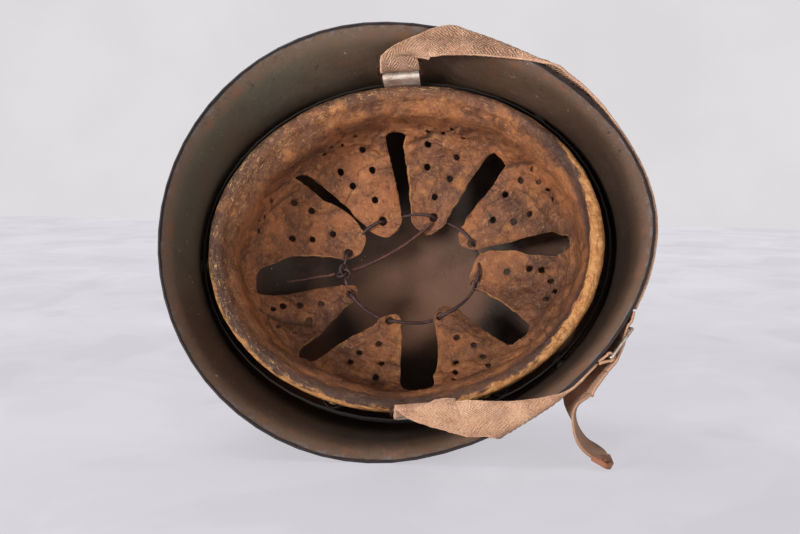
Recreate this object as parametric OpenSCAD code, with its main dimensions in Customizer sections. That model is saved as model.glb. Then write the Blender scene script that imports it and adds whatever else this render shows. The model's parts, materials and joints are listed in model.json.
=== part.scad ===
// Steel helmet with a sprung leather liner and a webbing chinstrap, lying on its side.
// Every piece is drawn in the helmet's own axes: +X to the front, +Y to the wearer's left, +Z to the
// crown, with the rim in the plane Z = 0. lay_down() then rests the helmet on its left side.

/* [Shell] */
// How far the brim stands out past the dome in front
flare_front = 14; // [11:1:18]
// How far the brim stands out past the dome behind
flare_rear = 11; // [8:1:15]
// How far the brim stands out past the dome at each side
flare_side = 16; // [13:1:20]
// How far the rim's widest place lies behind the axis
rim_widest_back = 14; // [8:1:18]
// How far the dome's widest place lies in front of the axis where it rounds over
dome_widest_ahead = 4; // [0:0.5:6]
// Shape of the rim's front half: 2 is an ellipse, less is more pointed
rim_point = 1.86; // [1.8:0.02:2]
// Reach of the dome's flank to front and rear, carried down to the rim plane
dome_long = 131; // [130:1:134]
// Half width of the dome's flank, carried down to the rim plane
dome_side = 114; // [113:1:116]
// How far the flank leans in for each millimetre of height
flank_lean = 0.1; // [0.07:0.01:0.12]
// Height at which the flank starts to flare into the brim
flare_h = 46; // [40:1:50]
// Height at which the flank starts to round over into the crown
shoulder_h = 94; // [90:1:98]
// Height of the crown over the rim
shell_h = 158; // [154:1:168]
// Roundness of the shoulder, where 2 is an ellipse and more is squarer
shoulder_power = 2.4; // [2.2:0.1:2.6]
// Thickness of the sheet steel
sheet_t = 1.2; // [1:0.1:1.5]

/* [Shell rivets] */
// Angles round the helmet of the three rivets that hold the liner, from the front
rivet_angles = [45, 180, 315];
// Height of the rivets over the rim
rivet_h = 46; // [44:1:48]
// Radius of a rivet's domed head
rivet_head_r = 6; // [5:0.5:7]
// Rise of the domed head
rivet_head_h = 2.2; // [1.5:0.1:3]
// Radius of a rivet's shank
rivet_r = 2.4; // [2:0.1:2.8]
// Clearance of a shank in its hole, all round
rivet_gap = 0.3; // [0.2:0.05:0.4]

/* [Liner bands] */
// Room between the dome's flank, carried down to the rim plane, and the leather ring at front and rear
liner_room_long = 13; // [12:0.5:16]
// The same room at each side
liner_room_side = 15; // [14:0.5:17]
// Thickness of the two steel bands
band_t = 1; // [0.8:0.1:1.2]
// Height of the inner band's lower edge over the rim
band_low = 31; // [29:1:33]
// Height of the inner band
band_h = 20; // [18:1:22]
// Height of the outer band's lower edge over the rim
outer_band_low = 38; // [36:1:39]
// Height of the outer band
outer_band_h = 16; // [14:1:18]
// Space between the two bands, which the leaf springs fill
spring_space = 6; // [5:0.5:6.5]
// Thickness of a leaf spring
spring_t = 0.7; // [0.5:0.1:0.9]
// Width of a leaf spring
spring_w = 11; // [9:1:12]
// Half the angle that a spring's feet span round the band
spring_foot_angle = 7; // [6:0.5:8]
// Half the angle that a spring's bow spans
spring_bow_angle = 4.5; // [4:0.25:5]
// Thickness of the felt strip behind the leather
felt_t = 1.5; // [1:0.1:1.8]
// Clearance between one layer of the liner and the next
layer_gap = 0.2; // [0.15:0.05:0.3]

/* [Leather] */
// Thickness of the leather
leather_t = 2; // [1.6:0.1:2.2]
// Height of the lap that the leather turns up outside the band
lap_h = 9; // [8:0.5:10]
// Height over the rim at which the leather wall starts to curve in
bowl_low = 46; // [44:1:48]
// Height of the finger tips over the rim
tip_h = 106; // [100:1:112]
// Half length of the opening that the finger tips leave
opening_long = 36; // [33:1:39]
// Half width of the opening that the finger tips leave
opening_side = 28; // [26:1:31]
// How far round the bowl's curve has turned at the tips, in degrees
bowl_turn = 65; // [55:1:75]
// Share of the ring's reach at which the slots between the fingers end
slot_share = 0.82; // [0.78:0.01:0.86]
// Width of a slot at its round outer end
slot_w = 8; // [7:0.5:10]
// Width of a slot at its inner end
slot_w_in = 14; // [12:0.5:16]
// Radius of a finger's rounded tip
tip_r = 7.5; // [7:0.5:8]
// Radius of a vent hole
vent_r = 2; // [1.6:0.1:2.4]
// Radius of the lace hole in a finger's tip
lace_hole_r = 3.1; // [2.8:0.1:3.4]

/* [Lace] */
// Radius of the lace
lace_r = 1.1; // [0.9:0.1:1.3]
// Clearance between the lace and the leather
lace_gap = 0.4; // [0.3:0.05:0.6]

/* [Bails] */
// Width of the lug that holds a bail
lug_w = 22; // [20:1:23]
// Thickness of the lug's sheet
lug_t = 1.2; // [1:0.1:1.4]
// Height of the bail's bearing over the rim
bail_h = 20; // [18:1:21]
// How far in front of the helmet's axis the right bail sits
bail_x_right = 5; // [0:0.5:7]
// How far in front of the helmet's axis the left bail sits
bail_x_left = 0; // [-3:0.5:3]
// Radius of the bail's wire
wire_r = 1.3; // [1.1:0.1:1.5]
// Running clearance of the wire in the lug, all round
bail_gap = 0.15; // [0.1:0.05:0.2]
// Width of the bail between the middles of its legs
bail_w = 26; // [25.5:0.5:28]
// Length of the bail from its bearing to its outer bar
bail_len = 13; // [12:0.5:15]
// Angle at which the right bail stands, from straight outwards towards the mouth
bail_angle_right = 75; // [70:1:85]
// Angle at which the left bail stands, from straight outwards towards the mouth
bail_angle_left = 97; // [90:1:100]

/* [Chinstrap] */
// Width of the webbing
strap_w = 24; // [22:0.5:25]
// Thickness of the webbing
strap_t = 1.8; // [1.5:0.1:2]
// Width of the webbing where it is gathered in a bail
loop_w = 21; // [19:0.5:22]
// Length of the sewn double webbing past a bail's outer bar
loop_len = 7.5; // [6:0.5:8]
// Clearance between the webbing and the steel that it lies on
strap_gap = 0.55; // [0.45:0.05:0.8]
// How far past the rim's edge the webbing lies on the outside of the brim
strap_past = 28; // [27:0.5:30]

/* [Buckle] */
// Angle round the rim at which the buckle sits, from the front towards the left
buckle_angle = 34; // [32:1:36]
// Distance between one bar of the buckle and the next
bar_pitch = 10; // [9:0.5:11]
// Radius of the buckle's bars
bar_r = 1; // [0.9:0.1:1.2]
// Clearance between the webbing and the bars
bar_gap = 0.35; // [0.3:0.05:0.5]
// Distance of the bars from the steel
buckle_lift = 4.4; // [4.2:0.1:5]
// Space between the sewn webbing and the next length of it, across a fold that moves
fold_gap = 0.5; // [0.4:0.1:0.8]

/* [Strap tip] */
// Length of the metal tip
strap_tip_len = 9; // [8:0.5:11]
// Thickness of the tip's sheet
strap_tip_t = 0.6; // [0.5:0.1:0.8]
// Radius of the stud in the tip
stud_r = 2.2; // [1.8:0.1:2.6]

/* [Pose] */
// How far the front is raised as the helmet lies on its side, in degrees
roll = 5.5; // [4:0.5:7]

/* [Hidden] */

$fn = 48;
shell_sides = 60;
liner_sides = 48;
hair = 0.01;

function unit(v) = v/norm(v);
// A smooth run of rows through the rows given, with so many steps from each to the next.
function spline(a, b, c, d, t) =
    0.5*(2*b + t*(c - a) + t*t*(2*a - 5*b + 4*c - d) + t*t*t*(3*b - a - 3*c + d));
function smooth(rows, steps) = let (n = len(rows)) concat(
    [for (i = [0:n - 2]) for (k = [0:steps - 1])
        spline(rows[max(i - 1, 0)], rows[i], rows[i + 1], rows[min(i + 2, n - 1)], k/steps)],
    [rows[n - 1]]);

// The rim's reach to the front and rear and its half width, and the same of the leather ring.
rim_front = dome_long + flare_front;
rim_rear = dome_long + flare_rear;
rim_side = dome_side + flare_side;
liner_long = dome_long - liner_room_long;
liner_side = dome_side - liner_room_side;

// The shell is a pile of egg-shaped outlines, one for each height h over the rim.
function flare_at(h) = h < flare_h ? pow(1 - h/flare_h, 2) : 0;
function rise_at(h) = max(0, h - shoulder_h)/(shell_h - shoulder_h);
function cap_at(h) = pow(max(0, 1 - pow(rise_at(h), shoulder_power)), 1/shoulder_power);
function reach_at(h, dome, rim) = (dome - flank_lean*h)*cap_at(h) + (rim - dome)*flare_at(h);
function back_at(h) =
    (rim_widest_back - (rim_widest_back + dome_widest_ahead)*min(1, h/shoulder_h))*cap_at(h);
function bow(c, power) = sign(c)*pow(abs(c), 2/power);
function shell_point(a, h) =
    let (back = back_at(h), side = reach_at(h, dome_side, rim_side))
    let (front = reach_at(h, dome_long, rim_front) + back, rear = reach_at(h, dome_long, rim_rear) - back)
    let (power = 2 - (2 - rim_point)*flare_at(h))
    cos(a) > 0
        ? [front*bow(cos(a), power) - back, side*bow(sin(a), power), h]
        : [rear*cos(a) - back, side*sin(a), h];
function shell_normal(a, h) =
    let (round_it = shell_point(a + 0.5, h) - shell_point(a - 0.5, h))
    let (up_it = shell_point(a, h + 0.2) - shell_point(a, h - 0.2))
    unit(cross(round_it, up_it));
function shell_inside(a, h) = shell_point(a, h) - sheet_t*shell_normal(a, h);

flare_rows = 7;
flank_rows = 3;
crown_rows = 8;
shell_rows = concat(
    [for (i = [0:flare_rows - 1]) flare_h*pow(i/flare_rows, 1.2)],
    [for (i = [0:flank_rows]) flare_h + (shoulder_h - flare_h)*i/flank_rows],
    [for (i = [1:crown_rows]) shoulder_h + (shell_h - shoulder_h)*sin(86*i/crown_rows)]);

// The lying pose: the helmet tips back until the brim and the flank both meet the ground. The webbing's
// free end reaches out in front of the brim, which moves the middle of the whole by tail_front.
tail_front = 1.6;
function down(p) = p.y*cos(roll) - p.x*sin(roll);
function down_at(h) = max([for (i = [0:shell_sides - 1]) down(shell_point(360*i/shell_sides, h))]);
tilt = min([for (h = shell_rows) if (h > flare_h) atan2(down_at(0) - down_at(h), h)]);
lie_h = down_at(0)*cos(tilt);
function laid(p) =
    let (x = p.x*cos(roll) + p.y*sin(roll), y = down(p))
    [x + shift_x, p.z*cos(tilt) - y*sin(tilt) + shift_y, lie_h - y*cos(tilt) - p.z*sin(tilt)];
function laid_way(v) = laid(v) - laid([0, 0, 0]);
rim_xs = [for (i = [0:shell_sides - 1])
    let (p = shell_point(360*i/shell_sides, 0)) p.x*cos(roll) + p.y*sin(roll)];
shift_x = -(max(rim_xs) + strap_gap + strap_t + min(rim_xs))/2;
shift_y = -(shell_h*cos(tilt) - down_at(0)*sin(tilt))/2 - tail_front;

module lay_down() {
    translate([shift_x, shift_y, lie_h]) rotate([-90 - tilt, 0, 0]) rotate([0, 0, -roll]) children();
}

// A solid between two grids of points, each a list of closed rings; the first grid faces outwards.
module skin(outer, inner) {
    rings = len(outer);
    count = len(outer[0]);
    base = rings*count;
    polyhedron(
        points = concat([for (r = outer) each r], [for (r = inner) each r]),
        faces = concat(
            [for (i = [0:rings - 2]) for (j = [0:count - 1]) let (k = (j + 1)%count)
                each [[i*count + j, (i + 1)*count + j, i*count + k],
                      [i*count + k, (i + 1)*count + j, (i + 1)*count + k]]],
            [for (i = [0:rings - 2]) for (j = [0:count - 1]) let (k = (j + 1)%count)
                each [[base + i*count + j, base + i*count + k, base + (i + 1)*count + j],
                      [base + i*count + k, base + (i + 1)*count + k, base + (i + 1)*count + j]]],
            [for (j = [0:count - 1]) let (k = (j + 1)%count)
                each [[j, k, base + j], [k, base + k, base + j]]],
            [for (j = [0:count - 1]) let (k = (j + 1)%count, m = (rings - 1)*count)
                each [[m + j, base + m + j, m + k], [m + k, base + m + j, base + m + k]]]));
}

// A strip of cloth between two lists of rows of points, one for each of its faces.
module cloth(face, other_face) {
    count = len(face[0]);
    tube_of([for (i = [0:len(face) - 1])
        concat(face[i], [for (j = [count - 1:-1:0]) other_face[i][j]])], false);
}

// A solid that joins closed loops of points, one after the other, and is shut at its ends or joined up.
module tube_of(loops, joined_up) {
    rings = len(loops);
    count = len(loops[0]);
    last = joined_up ? rings - 1 : rings - 2;
    half = count/2;
    caps = joined_up ? [] : concat(
        [for (j = [0:half - 2]) each [[j, count - 1 - j, j + 1], [j + 1, count - 1 - j, count - 2 - j]]],
        [for (j = [0:half - 2]) let (m = (rings - 1)*count)
            each [[m + j, m + j + 1, m + count - 1 - j], [m + j + 1, m + count - 2 - j, m + count - 1 - j]]]);
    polyhedron(
        points = [for (l = loops) each l],
        faces = concat(
            [for (i = [0:last]) for (j = [0:count - 1]) let (k = (j + 1)%count, n = (i + 1)%rings)
                each [[i*count + j, i*count + k, n*count + j], [i*count + k, n*count + k, n*count + j]]],
            caps));
}

// The loops of a round cord along a path, with up as a direction that the path never takes.
function cord_loops(path, r, sides, joined_up, up) =
    let (n = len(path))
    [for (i = [0:n - 1])
        let (after = joined_up ? path[(i + 1)%n] : path[min(i + 1, n - 1)])
        let (before = joined_up ? path[(i + n - 1)%n] : path[max(i - 1, 0)])
        let (way = unit(after - before), across = unit(cross(way, up)), rise = cross(across, way))
        [for (s = [0:sides - 1]) path[i] + r*(cos(360*s/sides)*across + sin(360*s/sides)*rise)]];

module shell() lay_down() color([0.30, 0.27, 0.24]) {
    angles = [for (i = [0:shell_sides - 1]) 360*i/shell_sides];
    outer = concat([for (h = shell_rows) [for (a = angles) shell_point(a, h)]],
        [[for (a = angles) [0, 0, shell_h] + hair*[cos(a), sin(a), 0]]]);
    inner = concat([for (h = shell_rows) [for (a = angles) shell_inside(a, h)]],
        [[for (a = angles) [0, 0, shell_h - sheet_t] + hair*[cos(a), sin(a), 0]]]);
    difference() {
        union() {
            skin(outer, inner);
            translate([0, 0, shell_h - sheet_t/2])
                cylinder(r = 2*hair, h = sheet_t, center = true, $fn = shell_sides);
        }
        for (a = rivet_angles) on_rivet(a)
            cylinder(r = rivet_r + rivet_gap, h = 6*sheet_t, center = true, $fn = 24);
    }
}

// Puts its children at a liner rivet's hole, with Z pointing out of the shell.
module on_rivet(a) {
    n = shell_normal(a, rivet_h);
    translate(shell_point(a, rivet_h)) rotate([0, acos(n.z), atan2(n.y, n.x)]) children();
}

module rivet(a) lay_down() color([0.36, 0.33, 0.29]) on_rivet(a) {
    head_ball_r = (rivet_head_r*rivet_head_r + rivet_head_h*rivet_head_h)/(2*rivet_head_h);
    reach = outer_band_depth(a) + band_t + 3*layer_gap;
    intersection() {
        translate([0, 0, rivet_head_h - head_ball_r + 1.5*layer_gap]) sphere(r = head_ball_r);
        translate([0, 0, 1.5*layer_gap]) cylinder(r = rivet_head_r, h = rivet_head_h);
    }
    translate([0, 0, -reach]) cylinder(r = rivet_r, h = reach + layer_gap + rivet_head_h/2);
    translate([0, 0, -reach - band_t]) cylinder(r = 2*rivet_r, h = band_t);
}

// How far inside the shell's outer face the outer band's outer face lies at a rivet.
function outer_band_depth(a) =
    let (p = shell_point(a, rivet_h), n = shell_normal(a, rivet_h))
    let (long = spring_long + spring_space + band_t, side = spring_side + spring_space + band_t)
    min([for (d = [0:0.05:12]) let (q = p - d*n)
        if (pow(q.x/long, 2) + pow(q.y/side, 2) < 1) d]);

module rivet_spacers() lay_down() color([0.55, 0.53, 0.5]) {
    for (a = rivet_angles) on_rivet(a) {
        thick = outer_band_depth(a) - sheet_t - 4*layer_gap;
        translate([0, 0, -sheet_t - 1.5*layer_gap - thick]) difference() {
            cylinder(r = 1.8*rivet_r, h = thick);
            translate([0, 0, -1]) cylinder(r = rivet_r + rivet_gap/2, h = thick + 2);
        }
    }
}

// The liner's layers, from the outside in: leather lap, inner band, felt and leather wall.
band_inset = leather_t + layer_gap;
felt_inset = band_inset + band_t + layer_gap;
wall_inset = felt_inset + felt_t + layer_gap;
spring_long = liner_long - band_inset;
spring_side = liner_side - band_inset;

function oval(long, side, count) = [for (i = [0:count - 1]) [long*cos(360*i/count), side*sin(360*i/count)]];

module band(long, side, thick, low, high) {
    translate([0, 0, low]) difference() {
        linear_extrude(high) polygon(oval(long, side, liner_sides));
        translate([0, 0, -1]) linear_extrude(high + 2)
            polygon(oval(long - thick, side - thick, liner_sides));
    }
}

// Puts its children on the liner's ring at angle a and inset d, with X pointing out of it.
module on_ring(a, d, z) {
    long = liner_long - d;
    side = liner_side - d;
    translate([long*cos(a), side*sin(a), z]) rotate([0, 0, atan2(long*sin(a), side*cos(a))]) children();
}

liner_rivet_count = 8;
liner_rivet_r = 1.1;
liner_rivet_z = band_low + 0.6*lap_h;
lug_rivet_x = 0.3*lug_w;
function bail_x(side) = side < 0 ? bail_x_right : bail_x_left;

module rivet_holes(r) {
    for (i = [0:liner_rivet_count - 1]) on_ring(360*(i + 0.5)/liner_rivet_count + 2, 0, liner_rivet_z)
        rotate([0, 90, 0]) cylinder(r = r, h = 2*felt_inset, center = true, $fn = 8);
    for (s = [-1, 1]) for (x = [-1, 1]) translate([bail_x(s) + x*lug_rivet_x, s*liner_side, liner_rivet_z])
        rotate([90, 0, 0]) cylinder(r = r, h = 2*felt_inset, center = true, $fn = 8);
}

module inner_band() lay_down() color([0.36, 0.50, 0.50]) difference() {
    band(spring_long, spring_side, band_t, band_low, band_h);
    rivet_holes(liner_rivet_r + layer_gap);
}

module outer_band() lay_down() color([0.45, 0.43, 0.4]) difference() {
    band(spring_long + spring_space + band_t, spring_side + spring_space + band_t, band_t,
        outer_band_low, outer_band_h);
    for (a = rivet_angles) on_rivet(a)
        translate([0, 0, -15]) cylinder(r = rivet_r + rivet_gap, h = 20, $fn = 24);
}

module felt_strip() lay_down() color([0.42, 0.38, 0.33])
    band(liner_long - felt_inset, liner_side - felt_inset, felt_t, band_low + 1, band_h - 4);

// A bowed leaf whose feet lie on the inner band and whose back meets the outer band.
spring_angles = [20, 65, 115, 160, 200, 245, 295, 340];
spring_cells = 28;
spring_rise = spring_space - spring_t - 2.5*layer_gap;
function spring_bow(x) = abs(x) < spring_bow_angle ? spring_rise*(1 + cos(180*x/spring_bow_angle))/2 : 0;
function spring_place(i, x, lift) =
    let (a = spring_angles[i] + x, out = layer_gap + spring_bow(x) + lift)
    [(spring_long + out)*cos(a), (spring_side + out)*sin(a)];

module leaf_spring(i) lay_down() color([0.5, 0.49, 0.46]) {
    places = [for (k = [0:spring_cells]) spring_foot_angle*(2*k/spring_cells - 1)];
    low = outer_band_low + (outer_band_h - spring_w)/2;
    translate([0, 0, low]) linear_extrude(spring_w) polygon(concat(
        [for (x = places) spring_place(i, x, 0)],
        [for (k = [spring_cells:-1:0]) spring_place(i, places[k], spring_t)]));
}

// The leather's middle line, from the lap's edge round the fold, up the wall and in to the finger tips.
// Each place is [reach to front and rear, half width, height].
fold_mid = (wall_inset + leather_t)/2;
fold_r = fold_mid - leather_t/2;
wall_mid = wall_inset + leather_t/2;
wall_long = liner_long - wall_mid;
wall_side = liner_side - wall_mid;
function turn_at(share) = acos(1 - share*(1 - cos(bowl_turn)));
function bowl_at(share) =
    [wall_long + (opening_long - wall_long)*share, wall_side + (opening_side - wall_side)*share,
        bowl_low + (tip_h - bowl_low)*sin(turn_at(share))/sin(bowl_turn)];
slot_at = (wall_long - slot_share*liner_long)/(wall_long - opening_long);
bowl_mean = (wall_long + wall_side - opening_long - opening_side)/2;
ring_line = concat(
    [[liner_long - leather_t/2, liner_side - leather_t/2, band_low + lap_h]],
    [for (t = [0:45:180]) let (d = fold_mid - fold_r*cos(t))
        [liner_long - d, liner_side - d, band_low - fold_r*sin(t)]],
    [[wall_long, wall_side, (band_low + bowl_low)/2]],
    [for (share = [0, 0.35, 0.7, 1]) bowl_at(slot_at*share)]);
finger_shares = concat(
    [for (d = [0.12, 0.5, 1]) slot_at + d*slot_w/bowl_mean],
    [for (k = [1:4]) slot_at + slot_w/bowl_mean + (1 - slot_at - (slot_w + tip_r)/bowl_mean)*k/4],
    [for (d = [0.55, 0.22, 0.05, 0]) 1 - d*tip_r/bowl_mean]);
leather_line = concat(ring_line, [for (share = finger_shares) bowl_at(share)]);
ring_count = len(ring_line);
finger_count = len(finger_shares);
finger_cells = liner_sides/8;

// Half the angle that a finger spans at a share of the bowl, narrowed by the slots and by its round tip.
function finger_half(share) =
    let (mean = (bowl_at(share).x + bowl_at(share).y)/2)
    let (past_slot = (share - slot_at)*bowl_mean, to_tip = (1 - share)*bowl_mean)
    let (slot_full = slot_w/2 + (slot_w_in - slot_w)/2*past_slot/((1 - slot_at)*bowl_mean))
    let (slot_half = past_slot < slot_w/2 ? sqrt(past_slot*(slot_w - past_slot)) : slot_full)
    let (flank = mean*sin(22.5) - slot_half)
    let (tip = to_tip < tip_r ? sqrt(to_tip*(2*tip_r - to_tip)) + 0.8 : tip_r + (to_tip - tip_r))
    asin(min(flank, tip)/mean);
function leather_point(i, a, lift) =
    let (n = len(leather_line), after = leather_line[min(i + 1, n - 1)], before = leather_line[max(i - 1, 0)])
    let (way = unit([after.y - before.y, after.z - before.z]), p = leather_line[i])
    [(p.x + lift*way.y)*cos(a), (p.y + lift*way.y)*sin(a), p.z - lift*way.x];
function leather_side(lift) = concat(
    [for (i = [0:ring_count - 1]) for (j = [0:liner_sides - 1]) leather_point(i, 360*j/liner_sides, lift)],
    [for (k = [0:7]) for (i = [0:finger_count - 1]) for (c = [0:finger_cells])
        let (turn = finger_angles[k] + finger_half(finger_shares[i])*(2*c/finger_cells - 1))
        leather_point(ring_count + i, turn, lift)]);
// The number of a point of the leather in finger k, row i and column c; row -1 is the ring's last row.
function leather_index(k, i, c) = i < 0
    ? (ring_count - 1)*liner_sides + (finger_cells*k + c)%liner_sides
    : ring_count*liner_sides + (k*finger_count + i)*(finger_cells + 1) + c;

finger_angles = [for (i = [0:7]) 22.5 + 45*i];
vent_places = [[14, 0], [26, -8], [26, 8], [38, -11], [38, 11]];
function tip_centre(a) = [(opening_long + tip_r)*cos(a), (opening_side + tip_r)*sin(a)];
function slot_end(a) = slot_share*[liner_long*cos(a), liner_side*sin(a)];

module leather_sheet() {
    base = ring_count*liner_sides + 8*finger_count*(finger_cells + 1);
    ring_quads = [for (i = [0:ring_count - 2]) for (j = [0:liner_sides - 1]) let (k = (j + 1)%liner_sides)
        [i*liner_sides + j, (i + 1)*liner_sides + j, (i + 1)*liner_sides + k, i*liner_sides + k]];
    finger_quads = [for (k = [0:7]) for (i = [-1:finger_count - 2]) for (c = [0:finger_cells - 1])
        [leather_index(k, i, c), leather_index(k, i + 1, c),
            leather_index(k, i + 1, c + 1), leather_index(k, i, c + 1)]];
    quads = concat(ring_quads, finger_quads);
    rims = concat(
        [for (j = [0:liner_sides - 1]) [j, (j + 1)%liner_sides]],
        [for (k = [0:7]) for (i = [-1:finger_count - 2])
            [leather_index(k, i + 1, 0), leather_index(k, i, 0)]],
        [for (k = [0:7]) for (i = [-1:finger_count - 2])
            [leather_index(k, i, finger_cells), leather_index(k, i + 1, finger_cells)]],
        [for (k = [0:7]) for (c = [0:finger_cells - 1])
            [leather_index(k, finger_count - 1, c + 1), leather_index(k, finger_count - 1, c)]]);
    polyhedron(
        points = concat(leather_side(leather_t/2), leather_side(-leather_t/2)),
        faces = concat(
            [for (q = quads) each [[q[0], q[1], q[3]], [q[3], q[1], q[2]]]],
            [for (q = quads)
                each [[base + q[0], base + q[3], base + q[1]], [base + q[3], base + q[2], base + q[1]]]],
            [for (e = rims) each [[e[0], e[1], base + e[0]], [e[1], base + e[1], base + e[0]]]]));
}

module finger_holes(a) {
    tip = tip_centre(a);
    way = unit(slot_end(a) - tip);
    translate([tip.x, tip.y, 0]) rotate([0, 0, atan2(way.y, way.x)]) {
        rotate([0, 0, 11]) cylinder(r = lace_hole_r, h = shell_h, $fn = 8);
        for (v = vent_places) translate([v.x, v.y, 0]) rotate([0, 0, 11])
            cylinder(r = vent_r, h = shell_h, $fn = 8);
    }
}

module leather_liner() lay_down() color([0.55, 0.34, 0.18]) difference() {
    leather_sheet();
    for (a = finger_angles) finger_holes(a);
    rivet_holes(liner_rivet_r + layer_gap);
}

module flat_rivet(head_r, head_h, shank) {
    cylinder(r = head_r, h = head_h);
    translate([0, 0, -shank]) cylinder(r = liner_rivet_r, h = shank + hair);
}

module liner_rivets() lay_down() color([0.6, 0.55, 0.42])
    for (i = [0:liner_rivet_count - 1])
        on_ring(360*(i + 0.5)/liner_rivet_count + 2, -layer_gap, liner_rivet_z)
        rotate([0, 90, 0]) flat_rivet(2.4, 0.7, felt_inset);

// The lace runs in front of each finger, through its hole and behind it, round all eight.
lace_out = leather_t/2 + lace_r + lace_gap;
lace_weave = [[-17, -0.7], [-12, -1], [-3, -1], [3, 1], [12, 1], [17, 0.7]];
lace_level = bowl_at((opening_side + tip_r - wall_side)/(opening_side - wall_side)).z;
function lace_place(a, lift) = let (p = tip_centre(a)) [p.x, p.y, lace_level + lift];
lace_path = [for (a = finger_angles) for (w = lace_weave) lace_place(a + w[0], w[1]*lace_out)];

module lace() lay_down() color([0.25, 0.16, 0.16])
    tube_of(cord_loops(lace_path, lace_r, 6, true, [0, 0, 1]), true);

// The knot is a trefoil that hangs on the lace in the rear gap. Its own turns keep clear of each other.
knot_angle = 180;
knot_r = 3;
knot_cells = 36;
knot_centre = lace_place(knot_angle, 0) - [0, 0, 1.15*knot_r + 2*lace_r];
knot_path = [for (i = [0:knot_cells - 1]) let (t = 360*i/knot_cells)
    knot_centre + knot_r*[sin(t)/2 + sin(2*t), cos(t)/2 - cos(2*t), -0.7*sin(3*t)]];
module lace_knot() lay_down() color([0.25, 0.16, 0.16])
    tube_of(cord_loops(knot_path, 0.8*lace_r, 6, true, [0.05, 0.1, 1]), true);

// The lace's long end leaves the knot and lies across the opening on to a finger's tip.
long_end_path = [[5.8, 0.8, 0.4], [9, 2, 1.4], [14, 3.8, 2.2], [20, 6, 2.8], [27, 9, 3.2], [34, 12.5, 3.6],
    [42, 17, 4], [50, 22.5, 4.3], [55, 26, 4.5], [58.5, 29, 4.5]];
module lace_long_end() lay_down() color([0.38, 0.2, 0.14])
    tube_of(
        cord_loops([for (p = long_end_path) knot_centre + [p.x, -p.y, p.z]], lace_r, 8, false, [0, 0, 1]),
        false);

// Its short end points back into the slot between two fingers.
short_end_path = [[-5.8, -0.6, 0.4], [-9, -1, 1.4], [-14, -1.2, 2], [-19, -1.6, 1.6], [-24, -2.4, 0.6],
    [-30, -3.2, -0.8], [-36.5, -3.8, -2.4]];
module lace_short_end() lay_down() color([0.38, 0.2, 0.14])
    tube_of(
        cord_loops([for (p = short_end_path) knot_centre + [p.x, -p.y, p.z]], lace_r, 8, false, [0, 0, 1]),
        false);

// A lug is a strip of sheet riveted to the inner band and rolled round the bail's bearing bar.
eye_r = wire_r + bail_gap + lug_t;
plate_y = liner_side + layer_gap;
eye_y = plate_y + eye_r;

module lug(side) lay_down() color([0.72, 0.71, 0.69]) translate([bail_x(side), 0, 0])
    mirror([0, side < 0 ? 1 : 0, 0]) difference() {
        translate([-lug_w/2, 0, 0]) rotate([90, 0, 90]) linear_extrude(lug_w) difference() {
            union() {
                translate([eye_y, bail_h]) circle(r = eye_r);
                translate([plate_y, bail_h]) square([lug_t, band_low + 0.85*lap_h - bail_h]);
            }
            translate([eye_y, bail_h]) circle(r = wire_r + bail_gap);
        }
        for (x = [-1, 1]) translate([x*lug_rivet_x, plate_y, liner_rivet_z]) rotate([90, 0, 0])
            cylinder(r = liner_rivet_r + layer_gap, h = 4*lug_t, center = true, $fn = 24);
    }

module lug_rivets() lay_down() color([0.62, 0.6, 0.56])
    for (s = [-1, 1]) for (x = [-1, 1])
        translate([bail_x(s) + x*lug_rivet_x, s*(plate_y + lug_t + layer_gap/2), liner_rivet_z])
            rotate([-90*s, 0, 0]) flat_rivet(2.2, 0.7, felt_inset + lug_t);

// Puts its children on a bail, with X along its bars and Y from its bearing to its outer bar.
module on_bail(side) {
    angle = side < 0 ? bail_angle_right : bail_angle_left;
    mirror([0, side < 0 ? 1 : 0, 0]) translate([bail_x(side), eye_y, bail_h])
        rotate([-angle, 0, 0]) children();
}

bend_r = 2*wire_r;
module bail(side) lay_down() color([0.35, 0.22, 0.17]) on_bail(side) {
    straight_x = bail_w - 2*bend_r;
    straight_y = bail_len - 2*bend_r;
    for (y = [0, bail_len]) translate([-straight_x/2, y, 0]) rotate([0, 90, 0])
        cylinder(r = wire_r, h = straight_x, $fn = 32);
    for (x = [-1, 1]) translate([x*bail_w/2, bend_r, 0]) rotate([-90, 0, 0])
        cylinder(r = wire_r, h = straight_y, $fn = 32);
    for (q = [[1, 0, -90], [1, 1, 0], [-1, 1, 90], [-1, 0, 180]])
        translate([q[0]*straight_x/2, bend_r + q[1]*straight_y, 0]) rotate([0, 0, q[2]])
            rotate_extrude(angle = 90, $fn = 48) translate([bend_r, 0]) circle(r = wire_r, $fn = 32);
}

// The webbing sewn round a bail's outer bar.
loop_eye_r = wire_r + 0.3;
module strap_loop(side) lay_down() color([0.66, 0.55, 0.45]) on_bail(side)
    translate([-loop_w/2, bail_len, 0]) rotate([90, 0, 90]) linear_extrude(loop_w) difference() {
        union() {
            circle(r = loop_eye_r + strap_t, $fn = 32);
            translate([0, -strap_t]) square([loop_len, 2*strap_t]);
        }
        circle(r = loop_eye_r, $fn = 32);
    }

// The webbing drapes over the rim. drape() gives the place at distance s past the rim's edge, at angle a
// and lifted off the steel: in front of the rim while s is below 0, then round the edge and up the brim.
function rim_way(a) = unit(shell_point(a + 0.5, 0) - shell_point(a - 0.5, 0));
function rim_out(a) = cross(rim_way(a), [0, 0, 1]);
function brim_angle(a) =
    let (chord = shell_point(a, strap_past) - shell_point(a, 0)) atan2(chord.z, chord*rim_out(a));
function drape(a, s, lift) =
    let (edge = shell_point(a, 0), out = rim_out(a), up = [0, 0, 1], brim = brim_angle(a))
    let (mid_lift = strap_gap + strap_t/2, turn = min(max(s/mid_lift*180/PI, 0), brim))
    let (face = sin(turn)*out - cos(turn)*up, along = cos(turn)*out + sin(turn)*up)
    edge + lift*face + (s < 0 ? s : max(0, s - mid_lift*brim*PI/180))*along;

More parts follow.
